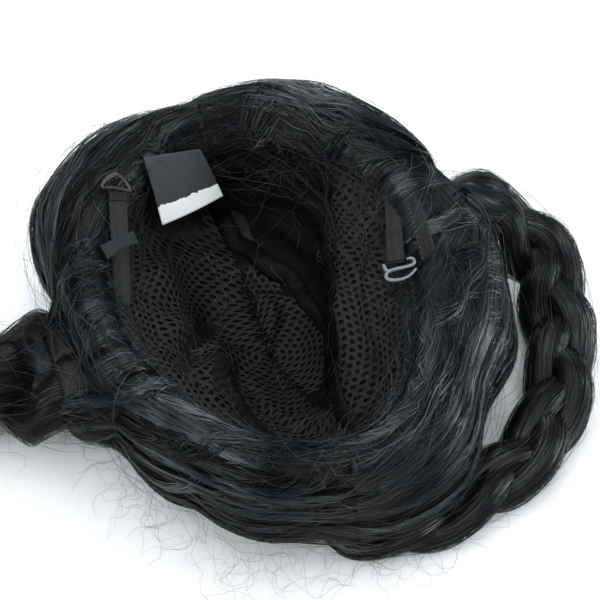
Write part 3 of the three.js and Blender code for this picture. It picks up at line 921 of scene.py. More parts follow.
CREASES = (
    Crease(
        ((-80, 0.7), (-66, 0.61), (-44, 0.57), (-20, 0.6), (14, 0.66), (30, 0.76), (46, 0.9)), 8 * MM, 0.14, 0.045
    ),
    Crease(((60, 0.46), (88, 0.5), (106, 0.57), (128, 0.7), (144, 0.8)), 9 * MM, 0.03, 0.34),
    Crease(((84, 0.62), (100, 0.7), (120, 0.82), (136, 0.9)), -3.5 * MM, 0.06, 0.06),
    Crease(((120, 0.3), (150, 0.36), (172, 0.46), (192, 0.6), (206, 0.74)), -6 * MM, 0.05, 0.04),
    Crease(((150, 0.22), (176, 0.34), (200, 0.5), (222, 0.7)), 5 * MM, 0.035, 0.3),
    Crease(((196, 0.2), (216, 0.32), (238, 0.46), (256, 0.62)), -5.5 * MM, 0.04, 0.04),
    Crease(((215, 0.16), (240, 0.28), (262, 0.46), (284, 0.62)), 4.5 * MM, 0.03, 0.3),
    Crease(((142, 0.56), (160, 0.62), (182, 0.74), (198, 0.88)), 3 * MM, 0.025, 0.1),
    Crease(((205, 0.8), (226, 0.72), (250, 0.76), (268, 0.86)), 4 * MM, 0.07, 0.03),
    Crease(((58, 0.2), (76, 0.3), (92, 0.42)), 4 * MM, 0.04, 0.2),
    Crease(((-50, 0.8), (-30, 0.76), (-6, 0.8), (10, 0.86)), 3.2 * MM, 0.05, 0.03),
    Crease(((-30, 0.92), (-12, 0.86), (8, 0.9), (22, 0.95)), -3 * MM, 0.03, 0.03),
    Crease(((-46, 0.34), (-10, 0.3), (30, 0.36), (66, 0.3)), 5 * MM, 0.05, 0.1),
    Crease(((10, 0.5), (30, 0.6), (52, 0.56), (74, 0.66)), 3.5 * MM, 0.025, 0.05),
    Crease(((20, 0.75), (40, 0.7), (60, 0.78), (84, 0.72)), 3 * MM, 0.02, 0.05),
    Crease(((52, 0.86), (66, 0.8), (84, 0.86), (100, 0.82)), 2.5 * MM, 0.03, 0.03),
)

ROLL_DOWN = (
    (90, 0.93), (87, 0.84), (90, 0.7), (86, 0.56), (74, 0.48), (58, 0.42), (40, 0.33), (4, 0.3), (-40, 0.37),
)
ROLL_SIDE = (
    (-80, 0.9), (-78, 0.8), (-76, 0.66), (-62, 0.55), (-36, 0.5), (-8, 0.52), (14, 0.53), (40, 0.6), (46, 0.9),
)
ROLLS = ((ROLL_DOWN, 2.6 * MM), (ROLL_SIDE, 2.2 * MM))


@dataclass
class CapWall:
    """The inside of the cap as a smooth grid: turn round the axis, share from the crown 0 to the edge 1."""

    edge: CapEdge
    eye_height: float = 0.082
    turns: int = 240
    shares: int = 72
    net_depth: float = 1.5 * MM
    probe: float = 0.02

    def __post_init__(self) -> None:
        """Measures the wall along rays from the middle of the opening."""
        self.eye = np.array([*self.edge.middle, self.eye_height])
        net = BVHTree.FromBMesh(merged_copy("net_cap"))
        hair = BVHTree.FromBMesh(merged_copy("hair_left", "hair_right"))
        eye = Vector(self.eye)
        turn = np.linspace(0, 2 * np.pi, self.turns, endpoint=False)
        self.lean_top = np.arctan2(self.edge.reach(turn), self.eye_height - self.edge.rise(turn))
        lean = self.lean_top[:, None] * np.linspace(0.0, 1.0, self.shares)[None, :]
        ways = self.ways(turn[:, None] + 0 * lean, lean)
        depth = np.zeros_like(lean)
        for row in range(self.turns):
            for column in range(self.shares):
                way = Vector(ways[row, column])
                first = net.ray_cast(eye, way)[3]
                second = hair.ray_cast(eye, way)[3]
                found = [first or 1.0, (second or 1.0) - self.net_depth]
                depth[row, column] = min(found)
        top = np.linalg.norm(self.edge.place(turn) - self.eye, axis=1)
        depth = np.minimum(depth, 0.2)
        depth[:, -2:] = top[:, None]
        depth = blurred(blurred(depth, 1.3, 0, True), 1.1, 1, False)
        share = np.linspace(0.0, 1.0, self.shares)[None, :] + 0 * lean
        for crease in CREASES:
            depth -= crease.lift(turn[:, None] + 0 * lean, share)
        self.depth = depth

    def ways(self, turn: np.ndarray, lean: np.ndarray) -> np.ndarray:
        """Returns directions from the eye at a turn and a lean from straight down."""
        level = self.edge.outward(turn)
        return level * np.sin(lean)[..., None] - UP * np.cos(lean)[..., None]

    def bare(self, turn: np.ndarray, share: np.ndarray) -> np.ndarray:
        """Finds places on the wall.

        Args:
            turn: Turns in radians.
            share: Shares of the wall.

        Returns:
            The places.
        """
        row = np.asarray(turn) / (2 * np.pi) * self.turns
        lean = lookup(self.lean_top[:, None].repeat(2, 1), row, np.zeros_like(row)) * share
        depth = lookup(self.depth, row, np.asarray(share) * (self.shares - 1))
        return self.eye + self.ways(turn, lean) * depth[..., None]

    def inward(self, turn: np.ndarray, share: np.ndarray) -> np.ndarray:
        """Finds the directions off the wall into the cap.

        Args:
            turn: Turns in radians.
            share: Shares of the wall.

        Returns:
            The directions, one long.
        """
        step = self.probe
        around = self.bare(turn + step, share) - self.bare(turn - step, share)
        upward = self.bare(turn, np.minimum(share + step, 1)) - self.bare(turn, np.maximum(share - step, 0.001))
        return unit(np.cross(upward, around))

    def place(self, turn: np.ndarray, share: np.ndarray, lift: np.ndarray) -> np.ndarray:
        """Returns places off the wall by a lift into the cap."""
        return self.bare(turn, share) + self.inward(turn, share) * np.asarray(lift)[..., None]


@dataclass
class NetCap:
    """The coarse net in panels, the dark cloth behind it and the gathered rolls along the panels' edges, the last
    two painted near-black partly as shade.
    """

    wall: CapWall
    pitch: float = 4.4 * MM
    hole: float = 2.5 * MM
    thickness: float = 0.35 * MM
    lift: float = 0.4 * MM
    backing_depth: float = 0.9 * MM
    gathers: int = 90
    panels: tuple[tuple[float, float, float, float], ...] = (
        (-76, 44, 0.55, 0.995),
        (88, 284, 0.02, 0.995),
        (-76, 88, 0.02, 0.33),
        (60, 88, 0.33, 0.47),
    )

    def build(self) -> None:
        """Makes the net, its backing and its rolls."""
        net = joined_mesh(self.panel(*panel) for panel in self.panels)
        piece = add_piece("net_mesh", net, NetFinish("net_yarn").material(), ["net_cap"])
        rounding = piece.modifiers.new("Rounding", "SUBSURF")
        rounding.levels = 1
        rounding.render_levels = 1
        self.add_backing()
        self.add_rolls()

    def panel(self, start: float, end: float, lowest: float, highest: float) -> bmesh.types.BMesh:
        """Knits one panel of the net between two seams.

        Args:
            start: Turn of its first seam, in degrees.
            end: Turn of its second seam.
            lowest: Share of the wall where it starts.
            highest: Share where it ends.

        Returns:
            The panel.
        """
        start, end = math.radians(start), math.radians(end)
        middle = (start + end) / 2
        shares = np.linspace(lowest, highest, 90)
        line = self.wall.bare(np.full_like(shares, middle), shares)
        runs = np.concatenate([[0.0], np.cumsum(np.linalg.norm(np.diff(line, axis=0), axis=1))])
        turns = np.linspace(start, end, 60)
        panel = bmesh.new()
        rows = int(runs[-1] / (self.pitch * math.sqrt(3) / 2))
        tables = []
        for share in shares:
            ring = self.wall.bare(turns, np.full_like(turns, share))
            tables.append(np.concatenate([[0.0], np.cumsum(np.linalg.norm(np.diff(ring, axis=0), axis=1))]))
        halves = [table[-1] / 2 for table in tables]
        for row in range(rows):
            height = (row + 0.5) * self.pitch * math.sqrt(3) / 2
            half = float(np.interp(height, runs, halves))
            count = int(half / self.pitch)
            for column in range(-count - 1, count + 1):
                x = (column + (row % 2) / 2 + 0.25) * self.pitch
                if abs(x) < half - 0.35 * self.pitch:
                    bmesh.ops.create_circle(
                        panel,
                        segments=6,
                        radius=self.pitch / math.sqrt(3),
                        cap_ends=True,
                        matrix=Matrix.Translation((x, height, 0.0)),
                    )
        bmesh.ops.remove_doubles(panel, verts=panel.verts[:], dist=0.1 * self.pitch)
        cells = panel.faces[:]
        yarn = (self.pitch - self.hole) / 2
        bmesh.ops.inset_individual(panel, faces=cells, thickness=yarn, depth=-self.thickness)
        bmesh.ops.delete(panel, geom=cells, context="FACES")
        flat = np.array([vert.co[:] for vert in panel.verts])
        share = np.interp(flat[:, 1], runs, shares)
        low = np.clip(np.searchsorted(shares, share) - 1, 0, len(shares) - 2)
        turn = np.array([np.interp(x + halves[i], tables[i], turns) for x, i in zip(flat[:, 0], low)])
        places = self.wall.place(turn, share, self.lift + flat[:, 2])
        for vert, place in zip(panel.verts, places):
            vert.co = place
        for face in panel.faces:
            face.normal_update()
        return panel

    def add_backing(self) -> None:
        """Makes the dark cloth that shows through the net's holes, its near-black tone both black cloth and painted
        shade for the holes and the deep valley.
        """
        turn, share = np.meshgrid(np.linspace(0, FULL_TURN, 130, endpoint=False), np.linspace(0.004, 0.99, 42))
        places = self.wall.place(turn, share, np.full_like(turn, -self.backing_depth))
        mesh = grid_mesh(places, closed=True)
        crown = [edge for edge in mesh.edges if edge.is_boundary and edge.verts[0].co.z < 40 * MM]
        bmesh.ops.holes_fill(mesh, edges=crown, sides=0)
        # Painted shade: far darker than the net yarn, so the holes and the deep valley read as shadow.
        dark, light = (0.001, 0.001, 0.0011), (0.003, 0.003, 0.0033)
        cloth = NetFinish("net_backing", dark, light, roughness=0.7, gloss=0.08, grain=700.0)
        add_piece("net_backing", mesh, cloth.material())

    def add_rolls(self) -> None:
        """Makes the gathered rolls of dark cloth along the panels' edges, painted near-black so they sink into the
        valley's shade.
        """
        rng = np.random.default_rng(5)
        # Painted shade: the rolls' near-black tones stand in for the shade of the valley they lie in.
        cloth = NetFinish("roll_cloth", (0.0009, 0.0009, 0.001), (0.003, 0.003, 0.0034), gloss=0.1, grain=900.0)
        rolls = joined_mesh(self.roll(rng, route, radius) for route, radius in ROLLS)
        add_piece("net_rolls", rolls, cloth.material())

    def roll(
        self, rng: np.random.Generator, route: Sequence[tuple[float, float]], radius: float
    ) -> bmesh.types.BMesh:
        """Makes one gathered roll along a route of turns in degrees and shares.

        Args:
            rng: Seeded source of random numbers.
            route: Where it runs.
            radius: Its usual radius.

        Returns:
            The roll.
        """
        steps = np.linspace(0, 1, len(route))
        gather = FibreSet(rng, 1, self.gathers)
        run = gather.run[0]
        turn = np.radians(np.interp(run, steps, [point[0] for point in route]))
        share = np.interp(run, steps, [point[1] for point in route])
        share = share + 0.012 * gather.waves(1.0, 0.23)[0]
        path = self.wall.place(turn, share, np.full_like(run, 0.2 * MM))
        inward = self.wall.inward(turn, share)
        across = unit(np.cross(inward, along_axis(path)))
        size = radius * (1 + 0.25 * gather.waves(1.0, 0.4)[0])
        size = size * np.sin(np.pi * np.clip(run, 0.02, 0.98)) ** 0.4
        angle = np.linspace(0, 2 * np.pi, 12, endpoint=False)
        rings = [
            path
            + across * (2.2 * size * math.cos(way) * (1 + 0.1 * math.sin(5 * way)))[:, None]
            + inward * (size * math.sin(way))[:, None]
            for way in angle
        ]
        mesh = grid_mesh(np.stack(rings, axis=1), closed=True, capped=True)
        bmesh.ops.recalc_face_normals(mesh, faces=mesh.faces[:])
        return mesh


# The combed hair


@dataclass
class HairForm:
    """The outside of the combed hair as a smooth grid: turn round the cap, roll from below up to the edge."""

    edge: CapEdge
    inset: float = 4 * MM
    height: float = 46 * MM
    lowest: float = math.radians(-82)
    turns: int = 240
    rolls: int = 80
    reach: float = 0.25
    probe: float = 0.03

    def __post_init__(self) -> None:
        """Measures the hair along rays in each upright section."""
        hair = BVHTree.FromBMesh(merged_copy("hair_left", "hair_right"))
        turn = np.linspace(0, 2 * np.pi, self.turns, endpoint=False)
        roll = mix(self.lowest, self.top(turn)[:, None], np.linspace(0, 1, self.rolls)[None, :])
        start = self.centre(turn)
        ways = self.ways(turn[:, None] + 0 * roll, roll)
        reach = self.reach
        swell = np.full(roll.shape, np.nan)
        for row in range(self.turns):
            for column in range(self.rolls):
                way = Vector(ways[row, column])
                hit = hair.ray_cast(Vector(start[row]) + way * reach, -way)[3]
                if hit is not None and hit < reach:
                    swell[row, column] = reach - hit
        swell = np.where(np.isnan(swell), np.nanmedian(swell), swell)
        swell = blurred(swell, 1.6, 0, True)
        self.swell = blurred(swell, 1.2, 1, False)

    def centre(self, turn: np.ndarray) -> np.ndarray:
        """Returns the middle of the roll of hair at each turn."""
        base = np.array([*self.edge.middle, self.height])
        return base + self.edge.outward(turn) * (self.edge.reach(turn) - self.inset)[..., None]

    def ways(self, turn: np.ndarray, roll: np.ndarray) -> np.ndarray:
        """Returns directions in an upright section at an angle above level."""
        return self.edge.outward(turn) * np.cos(roll)[..., None] + UP * np.sin(roll)[..., None]

    def top(self, turn: np.ndarray) -> np.ndarray:
        """Returns the roll angle of the cap's edge."""
        return np.arctan2(self.edge.rise(turn) - self.height, self.inset)

    def bare(self, turn: np.ndarray, roll: np.ndarray) -> np.ndarray:
        """Finds places on the hair's outside.

        Args:
            turn: Turns in radians.
            roll: Angles above level in each upright section.

        Returns:
            The places.
        """
        share = (roll - self.lowest) / (self.top(turn) - self.lowest)
        swell = lookup(self.swell, turn / (2 * np.pi) * self.turns, share * (self.rolls - 1))
        return self.centre(turn) + self.ways(turn, roll) * swell[..., None]

    def outward(self, turn: np.ndarray, roll: np.ndarray) -> np.ndarray:
        """Finds the directions off the hair's outside.

        Args:
            turn: Turns in radians.
            roll: Angles above level in each upright section.

        Returns:
            The directions, one long.
        """
        step = self.probe
        around = self.bare(turn + step, roll) - self.bare(turn - step, roll)
        upward = self.bare(turn, roll + step) - self.bare(turn, roll - step)
        return unit(np.cross(around, upward))


@dataclass
class BraidLine:
    """A braid's middle line through its chosen places, as the CAD has it, with the frame of its sections."""

    points: Sequence[tuple[float, float, float]]
    sizes: Sequence[tuple[float, float]]
    steps: int = 160

    def __post_init__(self) -> None:
        """Runs a centripetal curve through the places and measures along it."""
        places = np.array(self.points) * MM
        places = np.vstack([2 * places[0] - places[1], places, 2 * places[-1] - places[-2]])
        runs = []
        share = np.linspace(0, 1, self.steps, endpoint=False)[:, None]
        for a, b, c, d in zip(places, places[1:], places[2:], places[3:]):
            gaps = [math.sqrt(np.linalg.norm(second - first)) for first, second in ((a, b), (b, c), (c, d))]
            slope_b = ((b - a) / gaps[0] - (c - a) / (gaps[0] + gaps[1]) + (c - b) / gaps[1]) * gaps[1]
            slope_c = ((c - b) / gaps[1] - (d - b) / (gaps[1] + gaps[2]) + (d - c) / gaps[2]) * gaps[1]
            cube = 2 * b - 2 * c + slope_b + slope_c
            square = -3 * b + 3 * c - 2 * slope_b - slope_c
            runs.append(((cube * share + square) * share + slope_b) * share + b)
        curve = np.vstack([*runs, places[-2:-1]])
        gaps = np.linalg.norm(np.diff(curve, axis=0), axis=1)
        self.runs = np.concatenate([[0.0], np.cumsum(gaps)])
        self.curve = curve
        self.tangent = along_axis(curve)
        self.length = float(self.runs[-1])

    def read(self, table: np.ndarray, along: np.ndarray) -> np.ndarray:
        """Returns the curve's values at distances along it."""
        return np.stack([np.interp(along, self.runs, table[:, axis]) for axis in range(3)], axis=-1)

    def frame(self, along: np.ndarray) -> tuple[np.ndarray, np.ndarray, np.ndarray, np.ndarray]:
        """Finds the line's sections.

        Args:
            along: Distances along the line.

        Returns:
            Their middles and their ahead, side and over directions.
        """
        held = np.clip(along, 0, self.length)
        ahead = unit(self.read(self.tangent, held))
        middle = self.read(self.curve, held) + ahead * (along - held)[..., None]
        side = unit(np.cross(ahead, UP))
        return middle, ahead, side, np.cross(side, ahead)

    def size(self, along: np.ndarray) -> np.ndarray:
        """Finds the braid's size.

        Args:
            along: Distances along the line.

        Returns:
            The sizes, as shares of the braid's usual one.
        """
        share = np.clip(along / self.length, 0, 1)
        result = np.full_like(share, self.sizes[0][1])
        for (start, low), (end, high) in zip(self.sizes, self.sizes[1:]):
            result = np.where(share >= start, mix(low, high, ease(share, start, end)), result)
        return result


@dataclass
class Comb:
    """Combs one half of the hair: a dense core, and locks of fine fibres from the edge to the braid."""

    side: Side
    form: HairForm
    line: BraidLine
    seed: int
    root_along: float = 30 * MM
    locks: int = 65
    fibres: int = 40
    stations: int = 14
    fibre_width: float = 0.34 * MM
    lock_relief: float = 1.0 * MM
    ring: float = math.radians(11)

    def __post_init__(self) -> None:
        """Finds where the braid leaves the hair."""
        root = self.line.frame(np.array([self.root_along]))[0][0]
        away = root[:2] - np.array(self.form.edge.middle)
        self.root_turn = float(np.arctan2(away[1], away[0]))
        centre = self.form.centre(np.array([self.root_turn]))[0]
        reach = float(np.hypot(*away) - np.hypot(*(centre[:2] - np.array(self.form.edge.middle))))
        self.root_roll = float(np.arctan2(root[2] - centre[2], reach))

    def build(self) -> None:
        """Makes the core and the two sweeps of locks of this half."""
        name = self.side.value
        node = f"hair_{name}"
        core = add_piece(f"{node}_core", merged_copy(node), CoreFinish("hair_core").material(), [node])
        remeshed(core, 4.2 * MM, 6, 0.6)
        for end in End:
            self.add_layer(end)
            self.add_sweep(end)
        self.add_root()

    def add_root(self) -> None:
        """Makes the fan of fibres that gathers from the edge into the braid."""
        rng = np.random.default_rng(self.seed + 13)
        count, stations = 600, 13
        run = np.linspace(0, 1, stations)[None, :]
        lock = rng.integers(0, 16, (count, 1))
        spread = (lock + rng.normal(0.5, 0.3, (count, 1))) / 8 - 1
        turn = self.root_turn + math.radians(36) * spread * (1 - ease(run, 0.0, 1.0))
        turn = turn + 0.012 * FibreSet(rng, count, stations).waves(0.06, 0.05)
        top = self.form.top(turn)
        roll = mix(top, self.root_roll + 0.25 - 0.35 * np.abs(spread), run**1.3)
        dome = np.sqrt(np.clip(1 - (2 * ((spread + 1) * 8 % 1) - 1) ** 2, 0, 1))
        spring = rng.uniform(0, 0.7, (count, 1))
        wander = FibreSet(rng, count, stations).waves(0.06, 0.03)
        lift = (1.6 + 1.3 * dome + spring + 0.2 * wander) * MM
        near = self.form.bare(turn, roll) + self.form.outward(turn, roll) * lift[..., None]
        brim = self.form.edge.place(turn) + UP * (2.6 * MM) - self.form.edge.outward(turn) * (1.4 * MM)
        near = mix(near, brim, np.exp(-run * 16)[..., None])
        along = self.root_along + (-16 + 40 * run) * MM
        middle, _, side, over = self.line.frame(along)
        angle = math.pi / 2 + 1.25 * spread * (1.0 if self.side is Side.LEFT else -1.0)
        size = self.line.size(along)
        away = side * (np.cos(angle) * size * 20.5 * MM)[..., None]
        away = away + over * (np.sin(angle) * size * 13.5 * MM)[..., None]
        place = mix(near, middle + away, ease(run, 0.35, 0.95)[..., None])
        out = unit(mix(self.form.outward(turn, roll), unit(away), ease(run, 0.35, 0.95)[..., None]))
        taper = np.minimum(1, 0.2 + 5 * (1 - run)) * np.minimum(1, 0.3 + 8 * run)
        width = 0.5 * self.fibre_width * rng.uniform(0.6, 1.25, (count, 1)) * taper
        tones = np.clip(rng.uniform(0, 1, 16)[lock[:, 0]] + rng.normal(0, 0.2, count), 0, 1)
        data = ribbon_mesh(f"hair_{self.side.value}_root", place, out, width, tones)
        add_object(data.name, data, FibreFinish("hair_fibre").material())

    def way(self, end: End) -> tuple[float, float]:
        """Returns the turn of one end of the parting and the turn from it to the braid."""
        start = math.radians(end.value)
        return start, (self.root_turn - start + math.pi) % (2 * math.pi) - math.pi

    def add_layer(self, end: End) -> None:
        """Makes the smooth combed layer between the parting and the braid, its streaks along its UV map.

        Args:
            end: The brow or the nape.
        """
        rng = np.random.default_rng(self.seed + (3 if end is End.BROW else 5))
        start, away = self.way(end)
        level, share = np.meshgrid(np.linspace(0, 1, 84), np.linspace(0, 1, 40), indexing="ij")
        turn = start + away * share
        top = self.form.top(turn) + 0.02
        low = self.root_roll - self.ring + (self.form.lowest + 0.05 - self.root_roll + self.ring) * (1 - share**2.4)
        roll = mix(low, top, level)
        ridge = 0.0
        for wave in (5.0, 11.0, 23.0):
            drift = rng.uniform(-1.5, 1.5)
            swing = 2 * np.pi * wave * level + drift * 3 * share + rng.uniform(0, 6.28)
            ridge = ridge + np.sin(swing) * 3.2 / wave
        lift = 0.5 * MM + ridge * MM * np.sin(np.pi * level) ** 0.5
        place = self.form.bare(turn, roll) + self.form.outward(turn, roll) * lift[..., None]
        place[..., 2] = np.maximum(place[..., 2], 0.3 * MM)
        mesh = grid_mesh(place if away > 0 else place[:, ::-1])
        bmesh.ops.reverse_faces(mesh, faces=mesh.faces[:])
        finish = CoreFinish("combed_layer", vector="UV", across=1.6, along=420.0, depth=0.0012)
        piece = add_piece(f"hair_{self.side.value}_{end.name.lower()}_layer", mesh, finish.material())
        solid = piece.modifiers.new("Body", "SOLIDIFY")
        solid.thickness = 1.5 * MM
        solid.offset = -1.0

    def add_sweep(self, end: End) -> None:
        """Makes the locks that are combed from one end of the parting, and from the edge, to the braid.

        Args:
            end: The brow or the nape.
        """
        rng = np.random.default_rng(self.seed + (0 if end is End.BROW else 7))
        start, away = self.way(end)
        lowest, top = self.form.lowest + 0.1, float(self.form.top(np.array([start]))[0])
        parts = []
        for index in range(self.locks):
            from_edge = index % 2 == 0
            aim = mix(lowest, top, rng.uniform(0.0, 1.0) ** 0.8)
            if from_edge:
                parts.append(self.lock(rng, start, away, aim, rng.uniform(-0.02, 0.86), 1.0, True))
            else:
                begin = max(0.0, rng.normal(0.0, 0.14))
                parts.append(self.lock(rng, start, away, aim, begin, min(1.0, begin + rng.uniform(0.5, 1.1)), False))
        data = ribbon_mesh(
            f"hair_{self.side.value}_{end.name.lower()}", *(np.concatenate(values) for values in zip(*parts))
        )
        add_object(data.name, data, FibreFinish("hair_fibre").material())

    def lock(
        self,
        rng: np.random.Generator,
        start: float,
        away: float,
        aim: float,
        share_start: float,
        share_end: float,
        from_edge: bool,
    ) -> tuple[np.ndarray, np.ndarray, np.ndarray, np.ndarray]:
        """Lays the fibres of one lock.

        Args:
            rng: Seeded source of random numbers.
            start: Turn of the parting, in radians.
            away: Turn from the parting to the braid.
            aim: Roll at which the lock sets out.
            share_start: Where it starts on the way to the braid.
            share_end: Where it ends.
            from_edge: Whether it grows out of the cap's edge.

        Returns:
            Middle lines, outward directions, half widths and tones of its fibres.
        """
        count, stations = self.fibres, self.stations
        run = np.linspace(0, 1, stations)[None, :]
        begin = share_start + rng.uniform(-0.04, 0.04, (count, 1))
        finish = np.minimum(share_end + rng.uniform(-0.12, 0.05, (count, 1)), 1.0)
        spot = rng.uniform(-1, 1, (count, 1))
        half_width = math.radians(rng.uniform(2.5, 6.5))
        loose = rng.random() < 0.3
        clump = FibreSet(rng, 1, stations).waves(0.16, 0.055 if loose else 0.12)
        own = FibreSet(rng, count, stations).waves(0.16, 0.035)
        ring = self.ring * np.clip((aim - self.root_roll) / 1.2, -1, 1)
        share = mix(begin, finish, run**1.15 if from_edge else run)
        late = 2.4 + 5 * rng.random() * ease(np.array(aim), 0.5, 1.4)
        hold = 1 - np.clip(share, 0, 1) ** late
        roll = self.root_roll + ring + (aim - self.root_roll - ring) * hold
        turn = start + away * (share - 0.045 * ease(share, 0.75, 1.0))
        top = self.form.top(turn)
        if from_edge:
            length = 0.02 + 0.1 * np.abs(away) * (finish - begin)
            roll = mix(top + 0.02, np.minimum(roll, top), 1 - np.exp(-run * length / 0.016))
        roll = roll + half_width * spot * (0.35 + 0.65 * hold) + math.radians(3.4 if loose else 1.4) * clump
        roll = roll + math.radians(0.35) * own
        turn = turn + math.radians(0.5) * own[:, ::-1]
        roll = np.minimum(roll, top + 0.02)
        place = self.form.bare(turn, roll)
        out = self.form.outward(turn, roll)
        dome = np.sqrt(np.clip(1 - spot**2, 0, 1))
        lift = rng.uniform(1.2, 2.3) * MM + self.lock_relief * dome + rng.uniform(0, 0.5 * MM, (count, 1))
        lift = (lift + loose * 1.6 * MM) * ease(run, -0.1, 0.12) + 0.15 * MM * own
        place = place + out * lift[..., None]
        if from_edge:
            brim = self.form.edge.place(turn) + UP * (2.4 * MM) - self.form.edge.outward(turn) * (1.4 * MM)
            brim = brim + UP * (lift * 0.4)[..., None]
            place = mix(place, brim, np.exp(-run * length / 0.003)[..., None])
        place[..., 2] = np.maximum(place[..., 2], TABLE_GAP)
        tilt = 0.5 * spot + rng.normal(0, 0.22, (count, 1)) + 0 * share
        across = unit(np.cross(out, along_axis(place)))
        out = out * np.cos(tilt)[..., None] + across * np.sin(tilt)[..., None]
        taper = np.minimum(1, 0.25 + 6 * (1 - run)) * np.minimum(1, 0.3 + 8 * run)
        width = 0.5 * self.fibre_width * rng.uniform(0.6, 1.25, (count, 1)) * taper
        tones = np.clip(rng.uniform(0, 1) ** 1.2 + rng.normal(0, 0.22, count), 0, 1)
        return place, out, width, tones


# The braids


